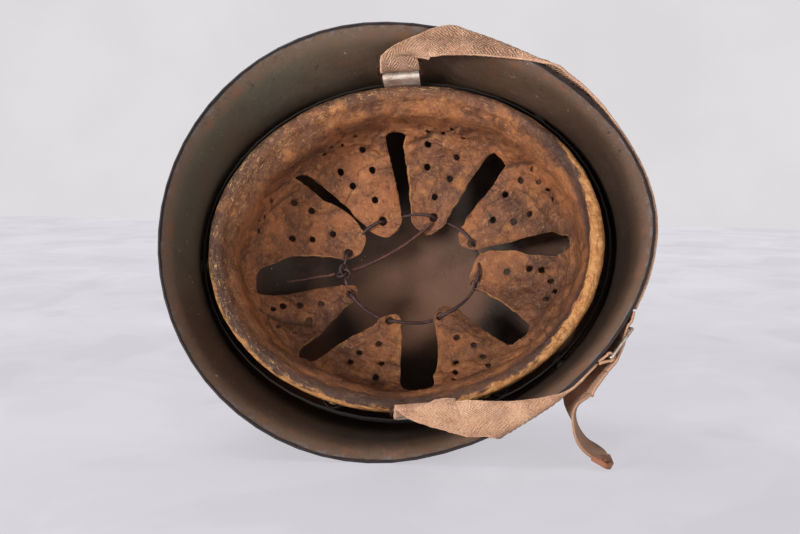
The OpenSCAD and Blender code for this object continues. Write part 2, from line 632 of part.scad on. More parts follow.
// Where the webbing's columns of points lie across it: two of them keep to the fold round the rim.
function columns(a, past, width) =
    let (fold = (strap_gap + strap_t/2)*brim_angle(a)*PI/180)
    let (low = past - width, bend = max(low + 2, min(0, past - fold - 2)))
    [low, (low + bend)/2, bend, bend + fold/2, bend + fold, (bend + fold + past)/2, past];
// One row of the webbing at the rim: place is [angle, width past the edge, width, extra lift].
function drape_row(place, lift) =
    [for (s = columns(place[0], place[1], place[2])) drape(place[0], s, lift + place[3])];
// One row of free webbing: place is [middle, way to its near edge, way that its front faces, width].
column_shares = [0, 0.16, 0.34, 0.5, 0.66, 0.84, 1];
function free_row(place, lift) =
    [for (j = column_shares) place[0] + place[3]*(0.5 - j)*unit(place[1]) + lift*unit(place[2])];

function bail_reach(side, r) = let (angle = side < 0 ? bail_angle_right : bail_angle_left)
    [bail_x(side), side*(eye_y + r*cos(angle)), bail_h - r*sin(angle)];
strap_start = bail_len + loop_len + fold_gap;
right_start = bail_reach(-1, strap_start);
left_start = bail_reach(1, strap_start);

// The turn from the right bail to the rim, gathered where it turns.
right_turn = smooth([
    [right_start, [1, 0, 0], [0, sin(bail_angle_right), -cos(bail_angle_right)], loop_w],
    [right_start + [0.8, -0.6, -1.6], [0.98, 0.15, 0], [0, 0.8, -0.6], 18],
    [right_start + [3.5, -1.4, -2.9], [0.85, 0.5, 0], [0, 0.35, -0.94], 14.5],
    [right_start + [8, -2.4, -3.2], [0.5, 0.86, 0], [0, 0, -1], 13],
    [right_start + [13.5, -3.6, -2.4], [0.14, 0.99, 0], [0, 0, -1], 15],
    [right_start + [19, -5, -1.3], [-0.12, 0.99, 0], [0, 0, -1], 19]], 2);
right_rim = smooth([[-73, -2, 18.5, 0.4], [-69, 3, 20.2, 0.9], [-64, 9, 22.4, 0.1], [-58, 14.5, 23.4, 0],
    [-53, 19.5, strap_w, 0.3], [-49, 23, strap_w, 1.2], [-45, 26, strap_w, 2.8],
    [-40, strap_past, strap_w, 3.9],
    [-35, strap_past, strap_w, 3.2], [-29, strap_past, strap_w, 1.4], [-23, strap_past, strap_w, 0.2],
    [-17, strap_past, strap_w, 0]], 2);
front_rim = [for (a = [-13:4:19]) [a, strap_past, strap_w, 0]];

// The turn from the left bail to the rim.
left_turn = smooth([
    [left_start, [1, 0, 0], [0, -sin(bail_angle_left), -cos(bail_angle_left)], loop_w],
    [left_start + [0.8, 0.8, -1.6], [0.98, -0.12, 0], [0, -0.8, -0.6], 20],
    [left_start + [4, 2.4, -2.9], [0.88, -0.45, 0], [0, -0.35, -0.94], 18],
    [left_start + [10, 4.2, -3.2], [0.6, -0.8, 0], [0, 0, -1], 17],
    [left_start + [17.5, 6, -2.4], [0.22, -0.97, 0], [0, 0, -1], 18],
    [left_start + [24, 7.8, -1.2], [-0.1, -1, 0], [0, 0, -1], 21]], 2);
left_rim = smooth([[72, -4.5, 21.5, 0.1], [69, -1.5, 22.2, 0.5], [66, 3, 23, 0.9], [62, 9, 23.7, 0.1],
    [58, 14.5, strap_w, 0],
    [53, 20.5, strap_w, 0], [48.5, 25.5, strap_w, 0], [44, strap_past, strap_w, 0]], 2);

function webbing_side(free, rim, lift) = concat(
    [for (p = free) free_row(p, lift)],
    [for (p = rim) drape_row(p, strap_gap + strap_t/2 + lift)]);

// The buckle's own axes: X along the webbing towards its short half, Y across it, Z off the brim.
buckle_brim = brim_angle(buckle_angle);
buckle_x = rim_way(buckle_angle);
buckle_y = cos(buckle_brim)*rim_out(buckle_angle) + sin(buckle_brim)*[0, 0, 1];
buckle_z = sin(buckle_brim)*rim_out(buckle_angle) - cos(buckle_brim)*[0, 0, 1];
buckle_0 = drape(buckle_angle, strap_past - strap_w/2, buckle_lift);
function from_buckle(p) = buckle_0 + p.x*buckle_x + p.y*buckle_y + p.z*buckle_z;

module on_buckle() {
    multmatrix([for (i = [0:2]) [buckle_x[i], buckle_y[i], buckle_z[i], buckle_0[i]]]) children();
}

weave_in = -bar_pitch - 11;
weave_out = bar_pitch + 7.5;
bar_out = bar_r + bar_gap + strap_t/2;
eye_out = bar_r + 2*bar_gap + 1.5*strap_t;

// The angle round the rim at distance x from the buckle's middle, and where the webbing's middle lies there.
function angle_at(x) =
    buckle_angle + x/norm(shell_point(buckle_angle + 0.5, 0) - shell_point(buckle_angle - 0.5, 0));
function lying_at(x) =
    let (d = drape(angle_at(x), strap_past - strap_w/2, strap_gap + strap_t/2) - buckle_0)
    [d*buckle_x, d*buckle_z];
long_end = lying_at(weave_in);
short_end = lying_at(weave_out);

module strap_long() lay_down() color([0.68, 0.57, 0.47]) {
    rim = concat(right_rim, front_rim, [[angle_at(weave_in), strap_past, strap_w, 0]]);
    cloth(webbing_side(right_turn, rim, strap_t/2), webbing_side(right_turn, rim, -strap_t/2));
}

module strap_short() lay_down() color([0.68, 0.57, 0.47]) {
    rim = concat(left_rim, [[angle_at(weave_out), strap_past, strap_w, 0]]);
    cloth(webbing_side(left_turn, rim, -strap_t/2), webbing_side(left_turn, rim, strap_t/2));
}

frame_x = bar_pitch;
frame_y = strap_w/2 + bar_r + bar_gap;
module buckle() lay_down() color([0.74, 0.72, 0.68]) on_buckle() {
    for (x = [-frame_x, 0, frame_x]) translate([x, -frame_y, 0]) rotate([-90, 0, 0])
        cylinder(r = bar_r, h = 2*frame_y, $fn = 32);
    for (y = [-frame_y, frame_y]) translate([-frame_x, y, 0]) {
        rotate([0, 90, 0]) cylinder(r = bar_r, h = 2*frame_x, $fn = 32);
        sphere(r = bar_r, $fn = 32);
        translate([2*frame_x, 0, 0]) sphere(r = bar_r, $fn = 32);
    }
}

// The short half's end, sewn round the buckle's last bar.
eye_tail = short_end - [bar_pitch + 3*layer_gap, 0];
eye_up = unit([-rim_way(angle_at(weave_out))*buckle_z, rim_way(angle_at(weave_out))*buckle_x]);
module buckle_eye() lay_down() color([0.64, 0.53, 0.43]) on_buckle()
    translate([bar_pitch, strap_w/2, 0]) rotate([90, 0, 0]) linear_extrude(strap_w) difference() {
        union() {
            circle(r = bar_r + bar_gap + strap_t, $fn = 32);
            polygon([[-0.5, -bar_r - bar_gap - strap_t], eye_tail - strap_t/2*eye_up,
                eye_tail + 1.5*strap_t*eye_up, [2.6, 1]]);
        }
        circle(r = bar_r + bar_gap, $fn = 32);
    }

// The long half weaves under the first bar, over the second and over the sewn eye on the third.
weave_knots = [long_end + [2*fold_gap, 0], [-bar_pitch - 4, -bar_out], [-bar_pitch, -bar_out], [0, bar_out],
    [bar_pitch, eye_out], [weave_out, eye_out - 0.6]];
weave_cells = 4;
function ease(t) = (1 - cos(180*t))/2;
weave_line = concat([for (k = [0:len(weave_knots) - 2]) for (i = [0:weave_cells - 1])
    let (a = weave_knots[k], b = weave_knots[k + 1], t = i/weave_cells)
    [a.x + (b.x - a.x)*t, a.y + (b.y - a.y)*ease(t)]],
    [weave_knots[len(weave_knots) - 1]]);
function weave_row(i, lift) =
    let (n = len(weave_line), after = weave_line[min(i + 1, n - 1)], before = weave_line[max(i - 1, 0)])
    let (way = unit(after - before), p = weave_line[i] + lift*[-way.y, way.x])
    [for (s = [-1, 1]) [p.x, s*strap_w/2, p.y]];

module strap_weave() lay_down() color([0.66, 0.55, 0.45]) on_buckle()
    cloth([for (i = [0:len(weave_line) - 1]) weave_row(i, strap_t/2)],
        [for (i = [0:len(weave_line) - 1]) weave_row(i, -strap_t/2)]);

// The free end hangs from the buckle and turns, in the ground's axes, until its tip meets the ground.
// Each place is [from the hinge to the middle, way across].
tail_hinge = laid(from_buckle([weave_out + fold_gap, 0, eye_out - 0.6]));
tail_places = smooth([
    [[0, 0, 0], laid_way(buckle_y)],
    [[-5.5, -2, -5.5], [-0.42, 0.9, 0]],
    [[-11, -3, -11.5], [-0.57, 0.8, 0.1]],
    [[-12.9, -6, -17.8], [-0.4, 0.9, -0.2]],
    [[-13.7, -10, -24.9], [0.08, 0.85, -0.5]],
    [[-10.9, -16, -33.3], [0.35, 0.8, -0.4]],
    [[-6.3, -21, -39.2], [0.55, 0.78, -0.2]],
    [[-0.5, -27, -44.2], [0.69, 0.72, -0.06]]], 3);
tail_last = len(tail_places) - 1;
function tail_width(i) = strap_w - 10*max(0, i - tail_last + 3)/3;
function tail_row(i, lift) =
    let (p = tail_places[i], after = tail_places[min(i + 1, tail_last)][0])
    let (before = tail_places[max(i - 1, 0)][0], way = unit(after - before))
    let (across = unit(p[1] - (p[1]*way)*way), face = cross(way, across))
    [for (s = [-1, 1]) tail_hinge + p[0] + s*tail_width(i)/2*across + lift*face];

module strap_tail() color([0.6, 0.5, 0.41])
    cloth([for (i = [0:tail_last]) tail_row(i, strap_t/2)],
        [for (i = [0:tail_last]) tail_row(i, -strap_t/2)]);

// The strap tip's own axes: X along the webbing to its end, Y across it.
tip_0 = tail_hinge + tail_places[tail_last][0];
tip_x = unit(tail_places[tail_last][0] - tail_places[tail_last - 1][0]);
tip_y = let (w = tail_places[tail_last][1]) unit(w - (w*tip_x)*tip_x);
tip_z = cross(tip_x, tip_y);
tip_w = tail_width(tail_last);
module on_tip() {
    multmatrix([for (i = [0:2]) [tip_x[i], tip_y[i], tip_z[i], tip_0[i]]]) children();
}

module strap_tip() color([0.55, 0.38, 0.27]) on_tip() {
    thick = strap_t + 2*strap_tip_t;
    difference() {
        translate([layer_gap, 0, -thick/2]) linear_extrude(thick) hull() {
            translate([0, -tip_w/2]) square([1, tip_w]);
            translate([strap_tip_len - 4, 0]) circle(r = 4, $fn = 32);
        }
        translate([strap_tip_len/2, 0, -thick]) cylinder(r = stud_r/2 + layer_gap, h = 2*thick, $fn = 24);
    }
}

module tip_stud() color([0.5, 0.42, 0.33]) on_tip() {
    thick = strap_t + 2*strap_tip_t;
    for (s = [-1, 1]) mirror([0, 0, s < 0 ? 1 : 0]) translate([strap_tip_len/2, 0, thick/2 + layer_gap/2])
        cylinder(r = stud_r, h = 0.7);
    translate([strap_tip_len/2, 0, -thick/2 - layer_gap]) cylinder(r = stud_r/2, h = thick + 2*layer_gap);
}

shell();
rivet(rivet_angles[0]);  // rivet_left
rivet(rivet_angles[1]);  // rivet_rear
rivet(rivet_angles[2]);  // rivet_right
rivet_spacers();
outer_band();
inner_band();
leaf_spring(0);  // leaf_spring_1
leaf_spring(1);  // leaf_spring_2
leaf_spring(2);  // leaf_spring_3
leaf_spring(3);  // leaf_spring_4
leaf_spring(4);  // leaf_spring_5
leaf_spring(5);  // leaf_spring_6
leaf_spring(6);  // leaf_spring_7
leaf_spring(7);  // leaf_spring_8
felt_strip();
leather_liner();
liner_rivets();
lace();
lace_knot();
lace_long_end();
lace_short_end();
lug(-1);  // lug_right
lug(1);  // lug_left
lug_rivets();
bail(-1);  // bail_right
bail(1);  // bail_left
strap_loop(-1);  // strap_loop_right
strap_loop(1);  // strap_loop_left
strap_long();
strap_short();
buckle();
buckle_eye();
strap_weave();
strap_tail();
strap_tip();
tip_stud();
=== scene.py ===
# %% [markdown]
# # A steel helmet with a sprung leather liner
# The helmet lies on its side with its mouth towards the camera. The CAD model already holds every piece
# at its true size, so this lesson dresses it: metal gets its worn finishes, and everything that bends,
# which is the leather, the lace, the felt and the webbing, is modelled again as the soft thing it is.
# Lengths are metres in the model's own frame: Z is up, and the mouth faces -Y.

# %% Load the packed model
import json
import math

import bmesh
import bpy
from mathutils import Matrix, Vector, kdtree, noise


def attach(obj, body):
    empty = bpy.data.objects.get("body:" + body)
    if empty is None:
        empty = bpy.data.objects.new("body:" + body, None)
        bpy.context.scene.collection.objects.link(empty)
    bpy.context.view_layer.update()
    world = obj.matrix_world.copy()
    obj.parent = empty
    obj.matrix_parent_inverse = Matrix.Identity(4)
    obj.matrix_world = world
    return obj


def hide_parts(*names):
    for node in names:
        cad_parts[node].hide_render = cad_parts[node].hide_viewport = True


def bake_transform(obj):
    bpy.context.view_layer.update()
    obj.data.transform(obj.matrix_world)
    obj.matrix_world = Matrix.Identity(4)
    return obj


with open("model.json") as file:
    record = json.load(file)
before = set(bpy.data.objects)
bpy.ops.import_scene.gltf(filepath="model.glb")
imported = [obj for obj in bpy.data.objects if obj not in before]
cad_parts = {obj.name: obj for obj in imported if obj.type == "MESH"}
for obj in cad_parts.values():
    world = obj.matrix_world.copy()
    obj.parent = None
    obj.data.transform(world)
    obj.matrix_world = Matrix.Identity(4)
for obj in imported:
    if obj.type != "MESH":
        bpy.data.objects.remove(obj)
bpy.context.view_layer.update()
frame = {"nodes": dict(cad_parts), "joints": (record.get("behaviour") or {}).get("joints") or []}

# %% [markdown]
# ## The helmet's own axes
# A helmet is designed standing on its rim, but this one has been laid down. Shapes and finishes are
# easier to describe from the rim, so three directions and one point carry them over: the front, the
# wearer's left side, the crown, and the middle of the rim.

# %% The helmet's axes
MM = 0.001
left_way = Vector((0.0958458, -0.261602, -0.960405)).normalized()
crown_way = Vector((0.0, 0.964847, -0.262812)).normalized()
front_way = left_way.cross(crown_way)
rim_middle = Vector((-2.449, -60.567, 126.701)) * MM


def on_helmet(x, y, z):
    """A place given in millimetres from the rim's middle: ahead, to the left, towards the crown."""
    return rim_middle + (x * front_way + y * left_way + z * crown_way) * MM


def into_scene(name, data):
    """Puts a mesh, curve, lamp or camera into the scene as an object."""
    made = bpy.data.objects.new(name, data)
    bpy.context.scene.collection.objects.link(made)
    return made


print("front", [round(c, 3) for c in front_way], "crown", [round(c, 3) for c in crown_way])

# %% [markdown]
# ## The camera
# The photograph was taken from a little above the floor and a little to the helmet's front, with a
# short telephoto lens. Blender's camera looks along its own -Z, so the turn comes from the line of
# sight, and a small roll follows the slightly tilted horizon.

# %% Set the camera
photo_wide = 800
focal_pixels = 1416.7
camera_place = Vector((52.2, -871.7, 164.7)) * MM
camera_aim = Vector((-4.6, -40.0, 106.1)) * MM
camera_roll = 0.013


def looking(place, aim):
    """The matrix of a lamp or camera that stands at place and looks at aim."""
    return Matrix.Translation(place) @ (aim - place).to_track_quat("-Z", "Y").to_matrix().to_4x4()


lens = bpy.data.cameras.new("photo_lens")
lens.sensor_width = 36.0
lens.lens = focal_pixels / photo_wide * lens.sensor_width
lens.clip_end = 50
camera = into_scene("photo_camera", lens)
camera.matrix_world = looking(camera_place, camera_aim) @ Matrix.Rotation(camera_roll, 4, "Z")
bpy.context.scene.camera = camera
print("lens", round(lens.lens, 1), "mm")

# %% [markdown]
# ## Building a finish from nodes
# Every finish here is a small tree of shader nodes. A Value is something that the shader works out at
# every point of a surface, and adding or multiplying two Values adds the Math node for it. Its fade
# turns any number into a share from 0 to 1, which is what most of a finish is made of.

# %% Values and their nodes
def tone(colour):
    """A colour as a screen shows it, 0 to 255, as the linear values that a shader reads."""
    linear = [c / 255 / 12.92 if c < 10.3 else ((c / 255 + 0.055) / 1.055) ** 2.4 for c in colour]
    return (*linear, 1.0)


def feed(tree, socket, value):
    """Gives a socket a fixed value, or wires a Value to it."""
    if isinstance(value, Value):
        tree.links.new(value.socket, socket)
    else:
        socket.default_value = value


def add(tree, kind, sockets=None, output=0, **settings):
    """Adds a shader node, sets it up, feeds its sockets and gives one of its outputs."""
    made = tree.nodes.new("ShaderNode" + kind)
    for name, value in settings.items():
        setattr(made, name, value)
    for name, value in (sockets or {}).items():
        feed(tree, made.inputs[name], value)
    return Value(tree, made.outputs[output])


class Value:
    """What a shader works out at every point: a number, a place or a colour."""

    def __init__(self, tree, socket):
        self.tree, self.socket = tree, socket

    def math(self, operation, *values):
        return add(self.tree, "Math", dict(enumerate(values)), operation=operation)

    def __add__(self, other):
        return self.math("ADD", self, other)

    def __sub__(self, other):
        return self.math("SUBTRACT", self, other)

    def __rsub__(self, other):
        return self.math("SUBTRACT", other, self)

    def __mul__(self, other):
        return self.math("MULTIPLY", self, other)

    def __truediv__(self, other):
        return self.math("DIVIDE", self, other)

    def __abs__(self):
        return self.math("ABSOLUTE", self)

    __radd__, __rmul__ = __add__, __mul__

    def root(self):
        return self.math("SQRT", self)

    def at_least(self, other):
        return self.math("MAXIMUM", self, other)

    def at_most(self, other):
        return self.math("MINIMUM", self, other)

    def fade(self, low, high):
        """0 below low, 1 above high, smooth between. low may be the larger, and then it falls."""
        values = {"Value": self, "From Min": low, "From Max": high}
        return add(self.tree, "MapRange", values, interpolation_type="SMOOTHSTEP")


print("black", tone((0, 0, 0))[:3], "white", tone((255, 255, 255))[:3])

# %% [markdown]
# ## A finish under way
# A Paint holds a material's tree while it grows. It begins with a base of two colours, coats are laid
# over that by shares from 0 to 1, and bumps are laid on one another. Noise and distances are measured
# on the object's own coordinates, so they stay with it.

# %% A finish under way
class Paint:
    """A finish as it grows: its tree and shader, and the colour and the relief laid on so far."""

    def __init__(self, name, roughness, metallic=0.0, specular=0.5):
        self.finish = bpy.data.materials.new(name)
        self.finish.use_nodes = True
        self.tree = self.finish.node_tree
        self.shader = self.tree.nodes["Principled BSDF"]
        self.set("Roughness", roughness)
        self.set("Metallic", metallic)
        self.set("Specular IOR Level", specular)
        self.where = self.add("TexCoord", output="Object")
        self.relief = None

    def set(self, socket, value):
        feed(self.tree, self.shader.inputs[socket], value)

    def add(self, kind, sockets=None, output=0, **settings):
        return add(self.tree, kind, sockets, output, **settings)

    def noise(self, scale, detail=5.0, rough=0.6, distortion=0.0, where=None):
        """Cloudy noise from 0 to 1; scale is how many clouds fit in a metre."""
        values = {"Scale": scale, "Detail": detail, "Roughness": rough, "Distortion": distortion}
        return self.add("TexNoise", {"Vector": where or self.where, **values})

    def kept(self, name):
        """A number that is kept on the mesh's vertices."""
        return self.add("Attribute", output="Fac", attribute_name=name)

    def along(self, way, start=rim_middle):
        """How far a point lies from start, in metres, along a direction."""
        dot = self.add("VectorMath", {0: self.where, 1: way}, "Value", operation="DOT_PRODUCT")
        return dot - start.dot(way)

    def mix(self, share, first, second):
        """first where share is 0, second where it is 1. Each is a screen colour or a Value."""
        first, second = [c if isinstance(c, Value) else tone(c) for c in (first, second)]
        return self.add("Mix", {0: share, 6: first, 7: second}, 2, data_type="RGBA")

    def base(self, share, first, second):
        self.colour = self.mix(share, first, second)

    def coats(self, *coats):
        """Lays colours over what is there, each by its share."""
        for share, colour in coats:
            self.colour = self.mix(share, self.colour, colour)

    def bumps(self, *bumps):
        """Lays bumps on one another: a height from 0 to 1, and the depth in metres that it stands for."""
        for height, depth in bumps:
            sockets = {"Height": height, "Distance": depth, "Strength": 1.0}
            if self.relief:
                sockets["Normal"] = self.relief
            self.relief = self.add("Bump", sockets)

    def done(self):
        self.set("Base Color", self.colour)
        if self.relief:
            self.set("Normal", self.relief)
        return self.finish


print("a Paint can:", [name for name in vars(Paint) if not name.startswith("_")])

# %% [markdown]
# ## The shell's finish
# Eighty years have turned the paint inside the shell into a brown-grey skin. Large soft clouds give
# the patches of rust and of grey-green, fine noise gives the pits and the dust, and the raw edge of
# the rim is worn to bare dark steel, with a pale painted glint on the worn steel. The height above the
# rim decides where the edge is. Near-black painted shade lies only on the inside: low down, darker
# towards the bottom, and behind the liner, where the liner's shadow falls on the shell.

# %% Worn paint on the shell
def make_shell_paint():
    paint = Paint("shell_steel", 0.5, specular=0.3)
    height, inner = paint.along(crown_way), paint.kept("inner")
    clouds, patches = paint.noise(9, 6, 0.55, 0.4), paint.noise(26, 8, 0.65, 0.6)
    grit, specks = paint.noise(420, 4, 0.7), paint.noise(160, 6, 0.75)
    rear_right = paint.along((-0.75 * front_way - 0.66 * left_way).normalized())
    green = rear_right.fade(0.06, 0.14) * paint.noise(12).fade(0.3, 0.56)
    near_edge = height.fade(0.012, 0.007) * height.fade(0.001, 0.004)
    rust = near_edge * paint.noise(75, 5, 0.65).fade(0.52, 0.62)
    # Worn bare steel at the rim, painted pale bluish: partly wear, partly a painted glint.
    worn_steel_painted_glint = height.fade(0.005, 0.001) * paint.noise(150, 4, 0.7).fade(0.5, 0.62)
    deep = height.fade(0.09, 0.13) * clouds.fade(0.3, 0.6) * inner
    # Painted shade inside the shell, between rim and crown, darker towards the bottom.
    below = paint.along(Vector((0.62, 0, -0.78)))
    inside_painted_shade = 0.14 + below.fade(-0.03, 0.09) * 0.7
    inside_painted_shade = inside_painted_shade * height.fade(0.005, 0.022) * height.fade(0.1, 0.08) * inner
    ahead, aside = paint.along(front_way), paint.along(left_way)
    radius = (ahead * ahead + aside * aside).root()
    # Painted shadow of the liner on the shell's inside, weaker at the front and back ends.
    ends = (ahead * -1.25).at_least(ahead * 0.95).fade(0.06, 0.085)
    liner_painted_shadow = radius.fade(0.04, 0.058) * height.fade(0.036, 0.07)
    liner_painted_shadow = liner_painted_shadow * (0.85 - ends * height.fade(0.06, 0.09)) * inner
    raw_edge = height + (patches - 0.5) * 0.004
    # The near-black colour of the painted shade.
    painted_shade_colour = (22, 16, 13)
    paint.base(clouds.fade(0.36, 0.64), (72, 53, 41), (102, 80, 64))
    paint.coats(
        (patches.fade(0.52, 0.66) * 0.5, (98, 66, 48)),
        (green * 0.62, (88, 92, 78)),
        (height.fade(0.014, 0.003) * 0.7, (122, 98, 82)),
        (rust * 0.45, (140, 88, 60)),
        (worn_steel_painted_glint * 0.55, (138, 142, 148)),
        (specks.fade(0.6, 0.72) * 0.5, (150, 122, 100)),
        (specks.fade(0.42, 0.3) * 0.6, (42, 29, 23)),
        (paint.noise(330, 2, 0.5).fade(0.73, 0.78) * 0.7, (196, 172, 146)),
        (deep * 0.55, (132, 88, 66)),
        (inside_painted_shade, painted_shade_colour),
        (liner_painted_shadow, painted_shade_colour),
        (raw_edge.fade(0.0011, 0.0002), (50, 43, 44)),
    )
    paint.bumps((patches, 0.0007), (specks, 0.0005), (grit, 0.00014))
    paint.set("Roughness", 0.42 + specks * 0.3)
    paint.set("Metallic", worn_steel_painted_glint * 0.4)
    return paint.done()


shell_paint = make_shell_paint()
print("shell finish has", len(shell_paint.node_tree.nodes), "nodes")

# %% [markdown]
# ## The shell, smoothed
# The CAD shell is right in shape but arrives as loose flat triangles, which would catch the light one
# by one. A copy of it is merged into one skin, its triangles are joined into four-sided faces, and
# smooth shading rounds them. The raw edge of the sheet keeps its two sharp corners. Each vertex keeps
# whether it is on the inside, for the finish.

# %% Copy and smooth the shell
def merged_copy(node, sharp_turn):
    """A bmesh of a CAD node with its loose triangles merged and joined, and its sharp edges."""
    mesh = bmesh.new()
    mesh.from_mesh(frame["nodes"][node].data)
    bmesh.ops.remove_doubles(mesh, verts=mesh.verts, dist=2e-6)
    bmesh.ops.join_triangles(mesh, faces=mesh.faces, angle_face_threshold=0.6, angle_shape_threshold=0.9)
    bmesh.ops.recalc_face_normals(mesh, faces=mesh.faces)
    return mesh, [edge for edge in mesh.edges if edge.is_manifold and edge.calc_face_angle() > sharp_turn]


def make_piece(name, data, finish, slot, body, *nodes):
    """A piece with its finish, which stands for CAD nodes and rides on a body."""
    data.materials.append(finish)
    piece = into_scene(name, data)
    if body:
        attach(piece, body)
    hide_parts(*nodes)
    return piece


def mesh_piece(name, mesh, finish, slot, body, *nodes, smooth_angle=40):
    """Turns a bmesh into a piece, smooth but for its sharp edges."""
    data = bpy.data.meshes.new(name)
    mesh.to_mesh(data)
    mesh.free()
    data.shade_smooth()
    data.set_sharp_from_angle(angle=math.radians(smooth_angle))
    return make_piece(name, data, finish, slot, body, *nodes)


def give_thickness(piece, thick):
    """Gives a sheet its thickness in millimetres, half to each side."""
    wall = piece.modifiers.new("thickness", "SOLIDIFY")
    wall.thickness = thick * MM
    wall.offset = 0.0


shell_mesh, corners = merged_copy("shell", 0.9)
for edge in corners:
    edge.smooth = False
inner_layer = shell_mesh.verts.layers.float.new("inner")
for vert in shell_mesh.verts:
    middle = rim_middle + crown_way * min((vert.co - rim_middle).dot(crown_way), 0.09)
    vert[inner_layer] = 1.0 if vert.normal.dot(vert.co - middle) < 0 else 0.0
shell_piece = mesh_piece("shell_skin", shell_mesh, shell_paint, "shell_steel", "helmet", "shell")
print("shell faces:", len(shell_piece.data.polygons))

# %% [markdown]
# ## Metal finishes
# Bands, springs, lugs and wire are all steel, but each has aged in its own way: bare and dull, painted
# blue-green, plated with zinc or nickel, or rusted brown. The spacers, the outer band and the springs
# sit in the dark gap behind the liner, and their near-black colour is painted shade. One function
# makes them from two colours, a roughness and how metallic they still are, and the table says which
# CAD nodes wear each.

# %% Metal finishes
def make_metal(name, colour, worn, roughness, metallic):
    paint = Paint(name, roughness, metallic)
    clouds, scuffs = paint.noise(120, 6, 0.7, 0.3), paint.noise(720, 4, 0.7)
    paint.base(clouds.fade(0.42, 0.62), colour, worn)
    paint.coats((scuffs.fade(0.6, 0.7) * 0.5, [c * 0.5 for c in worn]))
    paint.bumps((clouds, 0.0002), (scuffs, 0.00008))
    paint.set("Roughness", roughness - 0.1 + clouds * 0.25)
    return paint.done()


leaf_springs = [f"leaf_spring_{i}" for i in range(1, 9)]
metals = {
    "rivet_steel": (["rivet_left", "rivet_rear", "rivet_right"], (74, 62, 52), (96, 68, 50), 0.5, 0.3),
    # Spacers, outer band and springs are painted near-black: painted shade of the gap behind the liner.
    "spacer_steel": (["rivet_spacers"], (40, 35, 31), (40, 30, 24), 0.75, 0.3),
    "outer_band_steel": (["outer_band"], (22, 18, 16), (30, 22, 17), 0.9, 0.0),
    "band_paint": (["inner_band"], (96, 132, 132), (84, 104, 100), 0.5, 0.1),
    "spring_steel": (leaf_springs, (32, 27, 24), (34, 25, 20), 0.85, 0.1),
    "rivet_brass": (["liner_rivets"], (120, 100, 70), (84, 62, 44), 0.5, 0.8),
    "zinc": (["lug_right", "lug_left", "lug_rivets"], (232, 216, 202), (190, 164, 142), 0.46, 0.45),
    "bail_wire": (["bail_right", "bail_left"], (92, 60, 46), (62, 42, 34), 0.55, 0.5),
    "buckle_steel": (["buckle"], (190, 182, 170), (140, 118, 98), 0.34, 0.9),
    "tip_brass": (["strap_tip", "tip_stud"], (168, 112, 84), (124, 82, 62), 0.45, 0.6),
}
for name, (nodes, *look) in metals.items():
    metal = make_metal(name, *look)
    for node in nodes:
        slots_of_node = frame["nodes"][node].data.materials
        slots_of_node.clear()
        slots_of_node.append(metal)
print("metal nodes dressed:", sum(len(nodes) for nodes, *_ in metals.values()))

# %% [markdown]
# ## The felt behind the leather
# A strip of felt pads the sprung band. It is all but hidden, yet it shows between band and leather
# from behind, so a merged copy of its solid gets slightly rounded edges and a matted, fuzzy finish.

# %% Felt strip
felt_paint = Paint("felt", 0.95)
fibres = felt_paint.noise(900, 6, 0.8, 1.5)
felt_paint.base(fibres.fade(0.35, 0.65), (84, 74, 62), (124, 112, 96))
felt_paint.bumps((fibres, 0.0004))
felt_paint.set("Sheen Weight", 0.3)

felt_mesh, rims = merged_copy("felt_strip", 1.0)
bmesh.ops.bevel(felt_mesh, geom=rims, affect="EDGES", offset=0.0004, segments=2, profile=0.5, material=-1)
felt_piece = mesh_piece("felt_lining", felt_mesh, felt_paint.done(), "felt", "helmet", "felt_strip")
print("felt faces:", len(felt_piece.data.polygons))

# %% [markdown]
# ## The leather liner's line
# The liner is one sheet of leather. It starts as a lap behind the sprung band, folds round the band's
# lower edge, climbs its inside as a wall, then leans in as a bowl and splits into eight fingers. One
# list gives that line from the lap to the bowl, as half length, half width and height, and one
# function goes on over the bowl. The numbers are the CAD model's own, in millimetres.

# %% The leather's line from lap to bowl
liner_long, liner_side = 118.0, 99.0
wall_long, wall_side = 111.9, 92.9
opening_long, opening_side = 36.0, 28.0
bowl_low, tip_high, bowl_turn = 46.0, 106.0, math.radians(65)
tip_round = 7.5
tip_soft = 9.0
bowl_mean = (wall_long + wall_side - opening_long - opening_side) / 2
liner_mean = 108.0
root_share = 0.82
before_root = 7
ring_end = (wall_long - root_share * liner_long) / (wall_long - opening_long) - before_root / bowl_mean
leather_thick = 2.0
fold_middle, fold_radius, fold_high = 3.55, 2.55, 31.0


def bowl(share):
    """Half length, half width and height at a share of the way from the wall to the finger tips."""
    turn = math.acos(1 - share * (1 - math.cos(bowl_turn)))
    high = bowl_low + (tip_high - bowl_low) * math.sin(turn) / math.sin(bowl_turn)
    return wall_long + (opening_long - wall_long) * share, wall_side + (opening_side - wall_side) * share, high


def on_bowl(turn, share):
    """The bowl's place at a turn, in radians, and a share of the way."""
    long, side, high = bowl(share)
    return Vector((long * math.cos(turn), side * math.sin(turn), high))


ring_rows = [(liner_long - 1, liner_side - 1, high) for high in (40, 38, 36, 34, 32.5)]
for degrees in range(0, 181, 15):
    turn = math.radians(degrees)
    inset = fold_middle - fold_radius * math.cos(turn)
    ring_rows.append((liner_long - inset, liner_side - inset, fold_high - fold_radius * math.sin(turn)))
ring_rows += [(wall_long, wall_side, high) for high in (32.5, 34.5, 36.5, 38.5, 40.5, 42.5, 44.3)]
ring_rows += [bowl(ring_end * step / 4) for step in range(5)]
print("rows from lap to fingers:", len(ring_rows))

# %% [markdown]
# ## A finger's outline
# Two fingers are parted by a slot, and no two of these slots are alike: they were cut by hand and have
# torn and stretched since. For each slot a table gives where it starts, where its end lies beside its
# own straight line, and where the two fingers' sides run at six distances from the ring, all in
# millimetres and read off the photograph. Two lists say how far each finger's tip lies beside its
# middle, and how much shorter it is than the bowl. The sheet's grid follows the cut edge.

